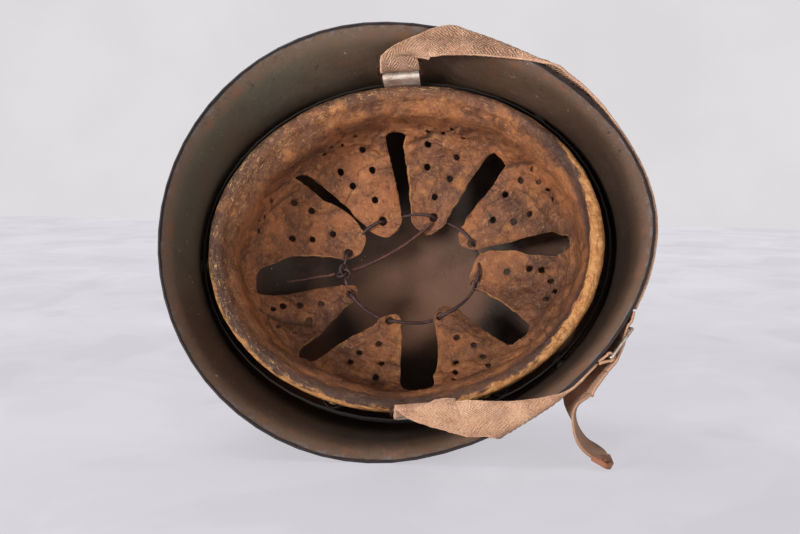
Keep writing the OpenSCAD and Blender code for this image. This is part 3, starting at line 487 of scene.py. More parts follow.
# %% Where a finger's sides run
side_marks = (4, 12, 24, 36, 48, 56)
slots = [
    (1, -3, (-9, -14, -14.2, -12.6, -12.3, -11.4), (2.1, 4.3, 0, -6, -8.5, -6)),
    (9, -3, (-8, -11, -13.2, -14, -13.5, -12), (5, 8, 8.1, 7.6, 6.3, 6.4)),
    (1, -0.5, (-9.8, -9.4, -12.2, -12.5, -12, -11), (9.2, 10.1, 9.8, 9.1, 8.1, 8.4)),
    (3, 2, (-2, -6, -6.3, -8.5, -12, -11), (3.5, 7, 6.8, 9.2, 11, 10.6)),
    (3, -17, (-19, -17.4, -14.9, -11.4, -9.4, -9.4), (-10, 4.5, 12, 13.3, 12.6, 10.8)),
    (2, 0, (-0.6, 2, 2.6, 5.6, 4.6, 2.2), (1.5, 8.7, 8.8, 8.9, 7.2, 6.2)),
    (1, -4, (-9.6, -8.8, -6.8, -5.4, -4.2, -4.3), (3.5, 0.8, 2.2, 2.4, 2.2, 2.3)),
    (5, -13, (-13, -15.5, -14.3, -12.1, -9.9, -7.9), (-12, -2, -0.6, -0.2, 1, 2.8)),
]
tip_axis = [-4, -3, -3, 3, 4, -1, 0, -3]
tip_cut = [2.5, 2.5, 2.5, 2.5, 0.8, -3, -4, 1.5]


def edge_at(slot, side, past):
    """How far a slot's edge lies beside its straight line; side 0 is the finger before it."""
    start, line, *edges = slots[slot % 8]
    if past <= start:
        return line
    marks = [(mark, edge) for mark, edge in zip(side_marks, edges[side]) if mark > start + 2]
    if past < marks[0][0]:
        share = (past - start) / (marks[0][0] - start)
        return line + (marks[0][1] - line) * math.sqrt(1 - (1 - share) ** 2)
    for (a, low), (b, high) in zip(marks, marks[1:]):
        if past <= b:
            return low + (high - low) * (past - a) / (b - a)
    return marks[-1][1]


def side_angle(share, number, side, left):
    """How far a finger's side stands from its middle; left is what is left to its very tip."""
    slot = (number + 1 - side) % 8
    long, wide, _ = bowl(share)
    mean, past = (long + wide) / 2, (share - ring_end) * bowl_mean
    half = mean * math.pi / 8 + edge_at(slot, side, past) * (-1 if side else 1)
    since = past - slots[slot][0]
    if since > 0:
        ragged = 0.8 * noise.noise(Vector((past * 0.16, slot * 5.3, side * 2.7)))
        ragged += 0.35 * noise.noise(Vector((past * 0.7, slot * 3.1, side * 4.1)))
        half += ragged * min(1.0, since / 3, left / 12)
    if left < tip_soft:
        beside = tip_axis[number] * (1 if side else -1)
        half = (half + beside) * math.sqrt(1 - (1 - left / tip_soft) ** 2) + 0.6 - beside
    return half / mean


from_slot = (0, 1, 1.6, 2.4, 3.4, 4.4, 5.2, 6, 7, 7.6, 8.4, 9.4, 10.4, 11.4, 12.4, 13.2, 14.2)
from_tip = (7.5, 6.2, 5.0, 3.8, 2.7, 1.7, 0.9, 0.35, 0.0)
near_slot = [ring_end + step / bowl_mean for step in from_slot]
near_tip = [1 - step / bowl_mean for step in from_tip]
middle = [near_slot[-1] + (near_tip[0] - near_slot[-1]) * step / 32 for step in range(1, 32)]
finger_rows = near_slot + middle + near_tip
print("rows along a finger:", len(finger_rows))

# %% [markdown]
# ## Laying out the sheet
# A flat grid is the easiest thing to bend. One long grid is wound round as the ring, and eight more
# become the fingers: each vertex keeps its row and column, and only its place is worked out. Where
# ring and fingers meet they have the same columns, so merging doubles sews them together.

# %% Bend the grids into the sheet
columns = 40
finger_turns = [math.radians(22.5 + 45 * step) for step in range(8)]


def flat_grid(mesh, wide, high):
    """Adds a flat grid of wide by high faces, and gives each vertex with its column and its row."""
    verts = bmesh.ops.create_grid(mesh, x_segments=wide, y_segments=high, size=1.0)["verts"]
    return [(v, round((v.co.x + 1) / 2 * wide), round((v.co.y + 1) / 2 * high)) for v in verts]


leather = bmesh.new()
fold_layer, cut_layer, rub_layer, crease_layer = [
    leather.verts.layers.float.new(name) for name in ("fold", "cut", "rub", "crease")]


def smooth_step(value, low, high):
    share = min(1.0, max(0.0, (value - low) / (high - low)))
    return share * share * (3 - 2 * share)


def ring_place(column, row):
    long, side, high = ring_rows[row]
    turn = 2 * math.pi * column / (8 * columns)
    slot, on = column // columns, column % columns / columns
    shift = slots[slot % 8][1] * (1 - on) + slots[(slot + 1) % 8][1] * on
    long_end, side_end, _ = ring_rows[-1]
    turn += 2 * shift / (long_end + side_end) * smooth_step(row, 17, len(ring_rows) - 1)
    return Vector((long * math.cos(turn), side * math.sin(turn), high))


def out_way(place):
    """The way out of the liner, square to its bowl."""
    return Vector((place.x / 1.24, place.y / 0.86, max(0.0, place.z - 44) * 2.6)).normalized()


bulges = [1.6, -2.2, 1.2, -1.8, 2.4, -1.4, 2.0, -2.4]
curls = [-1.6, 1.2, -2.0, 1.6, -1.2, 1.8, -1.4, 1.4]


def finger_place(number, column, row):
    left = (1 - finger_rows[row]) * bowl_mean
    share = finger_rows[row] - tip_cut[number] / bowl_mean * max(0.0, 1 - left / 20)
    low_side, high_side = side_angle(share, number, 1, left), side_angle(share, number, 0, left)
    across = column / columns
    there = on_bowl(finger_turns[number] - low_side + (low_side + high_side) * across, share)
    free = smooth_step(share, 0.32, 0.6) * smooth_step(share, 1.0, 0.74)
    lift = bulges[number] * math.sin(math.pi * across) + curls[number] * (2 * across - 1) ** 2
    return there + out_way(there) * lift * free


for vert, column, row in flat_grid(leather, 8 * columns, len(ring_rows) - 1):
    vert.co = ring_place(column, row)
for number in range(8):
    for vert, column, row in flat_grid(leather, columns, len(finger_rows) - 1):
        vert.co = finger_place(number, column, row)
bmesh.ops.remove_doubles(leather, verts=leather.verts, dist=0.02)
bmesh.ops.recalc_face_normals(leather, faces=leather.faces)
print("leather faces before piercing:", len(leather.faces))

# %% [markdown]
# ## Punching the holes
# Each finger has a hole for the lace near its tip and vents between that and its root. A table gives
# how far out from the lace's hole each vent lies, and how far beside the finger's middle. To punch a
# hole, the faces inside its circle are deleted, and the ragged ring left behind is drawn on to the
# circle, along the surface, so the edge is round.

# %% Punch the vents and lace holes
def punch(mesh, centre, radius, across, longer=1.0):
    """Punches a round hole; across are the two directions of its circle, the second stretched by longer."""
    def flat(vert):
        return Vector(((vert.co - centre).dot(across[0]), (vert.co - centre).dot(across[1]) / longer))

    through = across[0].cross(across[1])
    near = [v for v in mesh.verts if abs((v.co - centre).dot(through)) < 12]
    close = [v for v in near if flat(v).length < 3 * radius + 2]
    if not close:
        return 0
    inside = [v for v in close if flat(v).length < radius * 0.75]
    inside = inside or [min(close, key=lambda v: flat(v).length)]
    ring = {other for v in inside for face in v.link_faces for other in face.verts} - set(inside)
    normals = {v: v.normal.copy() for v in ring}
    bmesh.ops.delete(mesh, geom=inside, context="VERTS")
    for v in ring:
        offset = flat(v)
        if offset.length > 1e-6:
            shift = offset.normalized() * radius - offset
            step = shift.x * across[0] + shift.y * longer * across[1]
            tilt = normals[v].dot(through)
            step -= through * (normals[v].dot(step) / tilt) if abs(tilt) > 0.2 else Vector()
            v.co += step
        v[cut_layer] = -1.0
    return 1


vents = [
    ((18, -12.7), (31.5, -16.7), (39, -17.1)),
    ((18.5, -1.5), (28.9, -8.3), (39, -9.3), (33.6, 7.3), (39.6, 11.2)),
    ((17.1, -0.3), (27.5, 8.2), (35.7, 10.5), (29.3, -7.8), (39.3, -8.7)),
    ((43.4, 6.1), (33, 3.8), (19.9, 0), (31.1, -7.6)),
    ((40, 18.8), (29, 18.3), (36, -2.8), (24.3, 1.1), (13, 9)),
    ((42, 10.9), (29.6, 10.2), (37.5, -8.4), (27.3, -5.8), (13.4, 2.3)),
    ((39, -18.4), (39, 1.5), (27, -14.7), (25.8, 1.5), (12.4, -4.1)),
    ((43.4, -20), (31.5, -17.5), (40.3, 1.1), (17.9, -6.9), (29.5, 0.5)),
]
lace_hole, vent_hole = 2.9, 2.15
lace_hole_high = 104.0
fingers_above = 60
leather.normal_update()
east, north, up = Vector((1, 0, 0)), Vector((0, 1, 0)), Vector((0, 0, 1))
holes = 0
for turn, spots in zip(finger_turns, vents):
    tip_x, tip_y = (opening_long + tip_round) * math.cos(turn), (opening_side + tip_round) * math.sin(turn)
    tip = Vector((tip_x, tip_y, lace_hole_high))
    root = Vector((liner_long * math.cos(turn), liner_side * math.sin(turn), 0)) * root_share
    root.z = tip.z
    way = (root - tip).normalized()
    across_way = Vector((-way.y, way.x, 0))
    holes += punch(leather, tip, lace_hole, (east, north))
    for out, off in spots:
        place = tip + out * way + off * across_way
        on_fingers = [v for v in leather.verts if v.co.z > fingers_above]
        place.z = min(on_fingers, key=lambda v: (v.co.xy - place.xy).length).co.z
        holes += punch(leather, place, vent_hole, (east, north))
print("vents and lace holes:", holes)

# %% [markdown]
# ## Vents in the wall
# The photograph shows loose groups of four or five small holes where the fingers begin. The sheet's
# faces are too big there for so small a hole, so those round it are divided first. Each hole is then
# punched square to the wall.

# %% Punch the wall's vents
wall_vents = [
    (249.7, 0.038), (253.7, 0.069), (244.2, 0.075), (247.6, 0.119), (240.7, 0.118),
    (280.4, 0.119), (286.1, 0.114), (289.4, 0.051), (293.7, 0.112),
    (323.4, 0.083), (328.8, 0.111), (333.7, 0.098), (338.2, 0.118),
    (14.7, 0.29), (19.4, 0.229), (23.6, 0.276),
    (157.0, 0.131), (152.6, 0.188), (161.2, 0.234),
    (211.9, 0.101), (207.3, 0.058), (204.7, 0.123), (201.9, 0.079), (197.9, 0.125),
    (76.2, 0.174), (62.2, 0.2), (106.3, 0.18),
]
wall_hole, wall_hole_longer, divided_round = 1.6, 1.7, 4.2
leather.normal_update()
for degrees, share in wall_vents:
    spot = on_bowl(math.radians(degrees), share)
    near = [face for face in leather.faces if (face.calc_center_median() - spot).length < divided_round]
    around = list({edge for face in near for edge in face.edges})
    bmesh.ops.subdivide_edges(leather, edges=around, cuts=1, use_grid_fill=True)
    leather.normal_update()
    nearest = min(leather.verts, key=lambda v: (v.co - spot).length)
    out = nearest.normal.copy()
    flat_way = out.cross(up).normalized()
    holes += punch(leather, nearest.co.copy(), wall_hole, (flat_way, out.cross(flat_way)), wall_hole_longer)
print("holes in all:", holes)

# %% [markdown]
# ## Wrinkles, curl and wear
# Old leather is never smooth. Broad noise makes the wall sag and the fingers warp, finer noise makes
# wrinkles, and at the back the wall has sunk in. A table gives the deep creases, each from one place
# to another as a turn in degrees and a share of the way to the finger tips, and its depth. Four numbers
# are kept on every vertex for the finish: how near the worn fold it is, how far inside the rubbed band,
# how deep in a crease, and whether it is on a cut edge.

# %% Wrinkle the leather
def warp_of(place):
    """How far the leather stands out from its line at a place, in millimetres."""
    turn = math.atan2(place.y, place.x)
    ring = Vector((math.cos(turn), math.sin(turn), 0.0))
    above = smooth_step(place.z, 43, 56)
    broad = noise.noise(place * 0.03 + Vector((3.1, 0.7, 5.2)))
    line = noise.noise(ring * 2.1 + Vector((0, 0, place.z * 0.075))) + 0.35 * noise.noise(place * 0.09)
    groove = max(0.0, 1 - abs(line) / 0.16) ** 2
    second = noise.noise(ring * 4.5 + Vector((5, 2, place.z * 0.05)))
    pleat = max(0.0, 1 - abs(second) / 0.12) ** 2
    fine = noise.noise(place * 0.16 + Vector((8.3, 2.1, 0.4)))
    pucker = math.cos(8 * turn) * math.exp(-(((place.z - 64) / 11) ** 2))
    loose = 1 - 0.75 * smooth_step(place.z, 84, 100)
    free = above * loose * (2.0 * broad - 1.7 * groove - 1.2 * pleat + 1.1 * pucker + 0.5 * fine)
    seated = (1 - above) * smooth_step(place.z, 32, 36) * (-0.5 - 0.8 * groove - 0.5 * broad)
    return free + seated


rub_widths = [9.5, 8, 5.5, 4.5, 4.5, 4, 3, 1, 0, 0, 0, 5]


def rub_width(turn):
    """How wide the rubbed band is, in millimetres, at a turn round the ring."""
    step = math.degrees(turn) % 360 / 30
    first = int(step) % 12
    return rub_widths[first] + (rub_widths[(first + 1) % 12] - rub_widths[first]) * (step - int(step))


def from_outer_edge(inset, high):
    """How far along the sheet a place lies from the fold's outer edge, in millimetres."""
    if high >= fold_high:
        return 0.0 if inset < fold_middle - 1 else math.pi * fold_radius + high - fold_high
    return fold_radius * (math.pi / 2 + math.atan2(inset - fold_middle, fold_high - high))


creases = [
    ((323.5, 0.01), (312.5, 0.27), 1.0), ((312.5, 0.27), (307.1, 0.205), 0.7),
    ((284.2, 0.112), (272.5, 0.26), 0.9), ((284.2, 0.112), (303, 0.03), 0.5),
    ((206.2, 0.141), (224, 0.26), 0.8), ((210.4, 0.01), (223, 0.136), 0.9),
    ((324.3, 0.278), (347, 0.265), 0.7), ((164.4, 0.02), (146, 0.5), 0.9),
    ((22, 0.58), (12.6, 0.315), 0.5), ((181, 0.0), (178, 0.1), 0.5),
    ((36, 0.3), (18.9, 0.192), 0.5), ((238.3, 0.29), (260.1, 0.115), 0.4),
    ((118, 0.238), (98.6, 0.227), 0.6), ((74, 0.177), (59.1, 0.158), 0.6),
]
crease_steps = [step / 24 for step in range(25)]
crease_depths = []
crease_spots = kdtree.KDTree(len(creases) * len(crease_steps))
for (turn_a, share_a), (turn_b, share_b), depth in creases:
    for t in crease_steps:
        spot = on_bowl(math.radians(turn_a + (turn_b - turn_a) * t), share_a + (share_b - share_a) * t)
        crease_spots.insert(spot, len(crease_depths))
        crease_depths.append(depth * min(1.0, 5 * t + 0.3, 5 * (1 - t) + 0.3))
crease_spots.balance()


def crease_at(place):
    """How deep the nearest crease is at a place, from 0 to about 1."""
    _, nearest, distance = crease_spots.find(place)
    return crease_depths[nearest] * math.exp(-((distance / 2.4) ** 2))


leather.normal_update()
for vert in leather.verts:
    turn = math.atan2(vert.co.y / liner_side, vert.co.x / liner_long)
    ring = Vector((math.cos(turn), math.sin(turn), 0.0))
    inset = liner_mean * (1 - math.hypot(vert.co.x / liner_long, vert.co.y / liner_side))
    along = from_outer_edge(inset, vert.co.z)
    upper_left = max(0.0, math.cos(turn - math.radians(212)))
    vert[rub_layer] = max(-8.0, min(8.0, rub_width(turn) - along))
    vert[fold_layer] = math.exp(-((along / (8 + 8 * upper_left)) ** 2)) * (0.4 + 0.6 * upper_left)
    if vert.co.z < fold_high + 0.5:
        heart = Vector(((liner_long - fold_middle) * ring.x, (liner_side - fold_middle) * ring.y, fold_high))
        swell = 0.1 + 0.2 * noise.noise(ring * 5.0) + 0.12 * noise.noise(ring * 17.0 + Vector((0, 0, 4)))
        step = (vert.co - heart) * max(0.0, swell)
    else:
        deep = crease_at(vert.co)
        vert[crease_layer] = deep
        step = out_way(vert.co) * (warp_of(vert.co) + 2.2 * deep if inset > 4 else 0.0)
    relaxed = smooth_step(inset, 2.2, 6.0) * smooth_step(vert.co.z, 26, 43) * smooth_step(vert.co.z, 84, 46)
    uneven = 3.0 * noise.noise(ring * 2.6 + Vector((0, 0, 9))) + 1.8 * noise.noise(ring * 7.0)
    relaxed *= 6.0 + 3.0 * upper_left + uneven
    vert.co += step - relaxed * ring
edge_verts = {vert for edge in leather.edges if edge.is_boundary for vert in edge.verts if vert.co.z > 46}
for vert in leather.verts:
    vert[cut_layer] = 1.0 if vert in edge_verts and vert[cut_layer] >= 0 else 0.0
    vert.co = on_helmet(*vert.co)
bmesh.ops.recalc_face_normals(leather, faces=leather.faces)
print("leather verts:", len(leather.verts), "on a cut edge:", len(edge_verts))

# %% [markdown]
# ## The leather's finish
# Vegetable-tanned leather goes dark and shiny where heads have rubbed it and pale and dry where it
# has cracked. The base wanders between browns, with purple-grey stains. Heads have rubbed the fold to
# ochre in front and below, with a dark ragged border; at the back, pale fibres stand in its cracks. Cut
# edges have a pale raw line, and here and there the band's blue-green paint shows through.

# %% Worn leather
def cell_lines(paint, cells, wander, low, high):
    """1 on thin wandering lines between cells, 0 elsewhere; cells is how many fit in a metre."""
    way = paint.add("TexNoise", {"Vector": paint.where, "Scale": cells * 0.8, "Detail": 4.0}, 1)
    shift = paint.add("VectorMath", {0: way, 1: (wander, wander, wander)}, operation="MULTIPLY")
    bent = paint.add("VectorMath", {0: paint.where, 1: shift}, operation="ADD")
    sockets = {"Vector": bent, "Scale": cells}
    return paint.add("TexVoronoi", sockets, "Distance", feature="DISTANCE_TO_EDGE").fade(high, low)


def ring_strokes(paint, turns, fine):
    """Noise drawn out into strokes that run round the liner; it has no seam, because its
    coordinates are the ring's own circle, the distance from the middle and the height."""
    ahead, aside, high = [paint.along(way) for way in (front_way, left_way, crown_way)]
    radius = (ahead * ahead + aside * aside).root()
    spot = paint.add("CombineXYZ", {0: ahead / radius * turns, 1: aside / radius * turns, 2: radius * fine})
    values = {"Vector": spot, "W": high * fine, "Scale": 1.0, "Detail": 4.0, "Roughness": 0.65}
    return paint.add("TexNoise", values, noise_dimensions="4D")


def make_leather():
    paint = Paint("liner_leather", 0.5, specular=0.35)
    fold, cut, rub, crease = [paint.kept(name) for name in ("fold", "cut", "rub", "crease")]
    clouds, blots = paint.noise(17, 6, 0.6, 0.15), paint.noise(62, 9, 0.75, 0.2)
    stains, flecks = paint.noise(40, 7, 0.7, 0.1), paint.noise(260, 6, 0.75)
    specks, patches = paint.noise(800, 3, 0.7), paint.noise(40, 3, 0.6).fade(0.46, 0.6)
    ridges = abs(paint.noise(26, 3, 0.45, 0.3) - 0.5)
    grain = paint.add("TexVoronoi", {"Vector": paint.where, "Scale": 620.0}, "Distance", feature="F1")
    lower = paint.along(Vector((0.3, 0, -0.95)).normalized())
    strokes, fibres = ring_strokes(paint, 13.0, 620.0), ring_strokes(paint, 9.0, 1200.0)

    rubbed = rub + (blots - 0.5) * 9.0 + (strokes - 0.5) * 5.0
    ochre = paint.mix(flecks.fade(0.4, 0.62), (178, 116, 64), (214, 156, 98))
    ochre = paint.mix(strokes.fade(0.47, 0.32) * 0.65, ochre, (112, 70, 44))
    ochre = paint.mix(fibres.fade(0.62, 0.7), ochre, (244, 200, 134))
    fine_cracks = cell_lines(paint, 230.0, 0.004, 0.012, 0.05) * patches
    pale = abs(strokes - 0.5).fade(0.018, 0.004) * flecks.fade(0.48, 0.58)
    pale = pale.at_least(fibres.fade(0.6, 0.66) * patches).at_least(fine_cracks * 0.3)
    near_fold = (0.03 + fold.fade(0.1, 0.75)).at_most(1.0)
    dark_cracks = cell_lines(paint, 60.0, 0.02, 0.004, 0.02) * clouds.fade(0.56, 0.42)
    band_shows = rubbed.fade(6.5, 8.0) * paint.noise(34, 3).fade(0.62, 0.66)

    paint.base(clouds.fade(0.4, 0.6), (122, 79, 56), (172, 108, 68))
    paint.coats(
        (blots.fade(0.5, 0.62) * 0.6, (194, 128, 74)),
        (blots.fade(0.47, 0.36) * 0.6, (72, 45, 33)),
        (stains.fade(0.53, 0.62) * 0.45, (90, 64, 54)),
        # Painted shade in the thin wrinkle grooves that the ridges bump makes.
        (ridges.fade(0.014, 0.0) * 0.45, (60, 38, 30)),
        (flecks.fade(0.54, 0.66) * 0.5, (210, 150, 98)),
        (flecks.fade(0.45, 0.34) * 0.55, (66, 42, 32)),
        (specks.fade(0.62, 0.7) * 0.5, (226, 176, 126)),
        # Painted shade: the leather is darker towards the bottom.
        (lower.fade(-0.05, 0.07) * 0.3, (62, 36, 24)),
        (rub.fade(-7.5, -2.0) * stains.fade(0.4, 0.56) * 0.75, (84, 62, 56)),
        (fold.fade(0.12, 0.6) * blots.fade(0.62, 0.5) * 0.62, (84, 55, 43)),
        # Painted shade in the deep creases.
        (crease.fade(0.2, 0.9) * 0.7, (50, 31, 24)),
        (rubbed.fade(-4.5, -0.5) * rubbed.fade(2.0, 0.8) * 0.75, (64, 42, 34)),
        (rubbed.fade(0.8, 2.6), ochre),
        (pale * near_fold, (226, 178, 118)),
        (dark_cracks * 0.7, (44, 28, 22)),
        (cut.fade(0.55, 0.95) * flecks.fade(0.36, 0.56) * 0.6, (206, 150, 94)),
        (band_shows * 0.7, (112, 140, 138)),
    )
    paint.bumps((ridges.fade(0.0, 0.09), 0.0008), (blots, 0.002), (strokes, 0.0006),
                (1.0 - fine_cracks, 0.00035), (flecks, 0.0003), (grain, 0.00016))
    paint.set("Roughness", 0.42 + blots * 0.34)
    return paint.done()


liner_piece = mesh_piece("leather_sheet", leather, make_leather(), "liner_leather", "helmet", "leather_liner",
                         smooth_angle=60)
give_thickness(liner_piece, leather_thick * 0.95)
print("leather faces:", len(liner_piece.data.polygons))

# %% [markdown]
# ## The lace
# A thin leather lace runs in front of each finger, through its hole and behind it, and draws the eight
# tips together. A curve with a round section is the natural tool: its points are the CAD model's own,
# in millimetres, and the curve smooths the way between them. The knot is a closed curve of its own.

# %% The lace's finish and curves
lace_route = [
    (41.0, 38.0, 100.6), (40.7, 36.5, 97.8), (39.5, 35.0, 92.5), (38.1, 38.9, 87.7),
    (35.2, 37.6, 82.8), (33.1, 36.1, 80.4), (27.7, 31.4, 76.1), (24.9, 30.1, 74.3),
    (19.3, 29.2, 71.1), (15.2, 33.5, 68.0), (8.8, 33.0, 66.0), (5.1, 32.1, 65.4),
    (-3.2, 28.5, 65.6), (-7.0, 27.8, 65.8), (-13.7, 28.0, 66.6), (-18.0, 33.1, 66.3),
    (-24.2, 33.7, 68.4), (-27.4, 33.3, 70.1), (-33.7, 31.1, 75.1), (-36.2, 30.9, 77.5),
    (-40.1, 32.1, 81.8), (-42.1, 37.8, 83.6), (-44.4, 39.2, 88.6), (-45.2, 39.2, 91.7),
    (-45.9, 37.6, 99.2), (-45.6, 37.7, 102.4), (-44.4, 39.2, 107.7), (-43.0, 44.9, 109.8),
    (-40.1, 46.3, 114.8), (-38.0, 46.3, 117.6), (-32.6, 44.3, 123.6), (-29.8, 44.1, 125.9),
    (-24.2, 45.0, 129.1), (-20.1, 50.3, 129.6), (-13.7, 50.9, 131.6), (-10.0, 50.3, 132.5),
    (-1.7, 47.2, 134.2), (2.1, 46.4, 134.4), (8.8, 46.2, 133.6), (13.1, 50.8, 131.3),
    (19.3, 50.2, 129.2), (22.5, 49.1, 127.8), (28.8, 44.6, 124.7), (31.3, 43.3, 122.7),
    (35.2, 42.1, 118.4), (37.2, 46.1, 114.0), (39.5, 44.7, 109.0), (40.3, 43.2, 106.2),
]
knot_route = [
    (-45.9, 33.4, 98.3), (-43.4, 31.5, 98.5), (-41.8, 31.2, 97.1), (-41.7, 32.5, 95.1),
    (-43.0, 34.0, 93.7), (-45.1, 34.1, 94.0), (-47.0, 32.7, 96.1), (-47.9, 31.6, 98.8),
    (-47.5, 32.2, 100.8), (-46.2, 34.2, 101.2), (-44.7, 35.7, 100.1), (-43.9, 35.2, 98.2),
    (-44.4, 32.8, 96.3), (-46.0, 30.5, 94.9), (-47.9, 30.4, 94.2), (-49.4, 32.3, 94.4),
    (-49.6, 34.5, 95.5), (-48.3, 34.9, 97.0),
]


def make_lace(name, dark, light):
    paint = Paint(name, 0.6)
    fibres = paint.noise(500, 5, 0.7, 0.8)
    paint.base(fibres.fade(0.4, 0.62), dark, light)
    paint.bumps((fibres, 0.0004))
    return paint.done()


def cord_curve(name, route, radius, finish, slot, node, closed=False, thin=0.0):
    """A round cord along a route of places in millimetres; thin makes it uneven, by up to that share."""
    data = bpy.data.curves.new(name, "CURVE")
    data.dimensions = "3D"
    data.bevel_depth = radius * MM
    data.bevel_resolution = 3
    data.resolution_u = 5
    data.use_fill_caps = not closed
    spline = data.splines.new("BEZIER")
    spline.bezier_points.add(len(route) - 1)
    for number, (point, place) in enumerate(zip(spline.bezier_points, route)):
        point.co = Vector(place) * MM
        point.radius = 1.0 - thin * (0.5 + noise.noise(Vector(place) * 0.31 + Vector((number % 3, 2, 7))))
        point.handle_left_type = point.handle_right_type = "AUTO"
    spline.use_cyclic_u = closed
    return make_piece(name, data, finish, slot, "helmet", node)


lace_dark = make_lace("lace_leather", (48, 30, 32), (82, 54, 52))
cord_curve("lace_round_tips", lace_route, 1.3, lace_dark, "lace_leather", "lace", closed=True, thin=0.35)
cord_curve("lace_tied_knot", knot_route, 1.0, lace_dark, "lace_leather", "lace_knot", closed=True)
print("lace points:", len(lace_route), "knot points:", len(knot_route))

# %% [markdown]
# ## The lace's loose ends
# Two ends hang out of the knot: a long rust-brown one that lies across the opening on to a finger, and
# a short one that points back into a slot. Both are free cords; each one's length is measured along
# its own route and printed.

# %% The loose ends
long_end_route = [
    (-40.1, 33.7, 98.1), (-37.0, 35.1, 99.3), (-32.2, 36.4, 101.3), (-26.4, 37.7, 103.8),
    (-19.7, 39.1, 107.2), (-13.1, 40.6, 111.1), (-5.6, 42.3, 116.1), (1.9, 44.3, 122.0),
    (6.5, 45.5, 125.8), (9.7, 46.4, 129.0),
]
short_end_route = [
    (-51.5, 33.1, 95.7), (-54.6, 33.8, 94.7), (-59.6, 34.2, 93.9), (-64.5, 33.6, 93.2),
    (-69.4, 32.3, 92.2), (-75.3, 30.6, 91.3), (-81.7, 28.7, 90.5),
]
lace_worn = make_lace("lace_worn", (62, 36, 30), (100, 60, 46))
for name, node, route in (
        ("lace_end_long", "lace_long_end", long_end_route),
        ("lace_end_short", "lace_short_end", short_end_route)):
    piece = cord_curve(name, route, 1.05, lace_worn, "lace_worn", node)
    length = sum((Vector(b) - Vector(a)).length for a, b in zip(route, route[1:])) * MM
    print(name, round(length, 4), "m")

# %% [markdown]
# ## Herringbone webbing
# The chinstrap is woven cotton tape. Its ribs run slantwise and turn back every few millimetres, which
# makes the herringbone. The pattern follows the tape round every bend, so it reads the tape's own UV
# map, where U is the way along and V the way across, both in metres. Near the floor the weave is felted.

# %% Webbing finish
def make_webbing():
    rib_wide, rib_turn = 0.0021, 0.0064
    paint = Paint("webbing", 0.95, specular=0.15)
    tape_map = paint.add("UVMap", uv_map="tape")
    along, across = [paint.add("SeparateXYZ", {0: tape_map}, axis) for axis in "XY"]
    rim, dull = paint.kept("rim"), paint.kept("dull")
    wander = paint.noise(260, 3) * 0.0016
    phase = along + across.math("PINGPONG", across + wander, rib_turn) * 1.3 + wander
    rib = phase.math("SINE", phase * (2 * math.pi / rib_wide)) * 0.5 + 0.5
    worn = paint.noise(70, 4, 0.6).fade(0.3, 0.62)
    felted = paint.along(Vector((0, 0, 1)), Vector((0, 0, 0))).fade(0.09, 0.06)
    weave_share = rim.fade(0.7, 0.2) * (0.3 + worn * 0.7) * (1.0 - felted * 0.5)
    soil, fuzz = paint.noise(45, 6, 0.6), paint.noise(900, 4, 0.75)
    paint.base(soil.fade(0.35, 0.65), (186, 138, 108), (216, 170, 138))
    paint.coats(
        (rib.fade(0.5, 0.05) * weave_share * 0.85, (118, 80, 58)),
        (fuzz.fade(0.54, 0.66) * 0.45, (232, 204, 176)),
        (fuzz.fade(0.47, 0.36) * 0.5, (112, 76, 56)),
        (dull * 0.6, (126, 88, 68)),
    )
    paint.bumps((soil, 0.0009), (rib * weave_share, 0.0008), (fuzz, 0.0004))
    paint.set("Sheen Weight", 0.1)
    paint.set("Sheen Roughness", 0.6)
    return paint.done()


webbing_finish = make_webbing()
print("webbing finish has", len(webbing_finish.node_tree.nodes), "nodes")

# %% [markdown]
# ## A tape from a few cross lines
# A length of tape is described by cross lines: places across the tape, at stations along it. A flat
# grid is bent so that it passes smoothly through them all. Along the tape a spline joins the stations,
# and across it the columns are spread evenly by true distance, which gives the UV map for free. A
# Solidify modifier then gives the tape its thickness.

# %% Bend a tape through its stations
tape_thick = 1.35


def smooth_between(a, b, c, d, t):
    """A spline's place between b and c, as it passes on from a towards d."""
    return 0.5 * (2 * b + (c - a) * t + (2 * a - 5 * b + 4 * c - d) * t ** 2 + (3 * b - a - 3 * c + d) * t ** 3)


def cross_line(stations, share):
    """The cross line at a share of the way from the first station to the last."""
    last = len(stations) - 1
    step = min(int(share * last), last - 1)
    picks = [stations[min(max(step + shift, 0), last)] for shift in (-1, 0, 1, 2)]
    return [smooth_between(*map(Vector, places), share * last - step) for places in zip(*picks)]


def on_line(line, share):
    """The place at a share of a broken line's true length, and that length."""
    lengths = [(b - a).length for a, b in zip(line, line[1:])]
    left = share * sum(lengths)
    for a, b, length in zip(line, line[1:], lengths):
        if left <= length + 1e-9:
            return a.lerp(b, left / length), sum(lengths)
        left -= length
    return line[-1].copy(), sum(lengths)


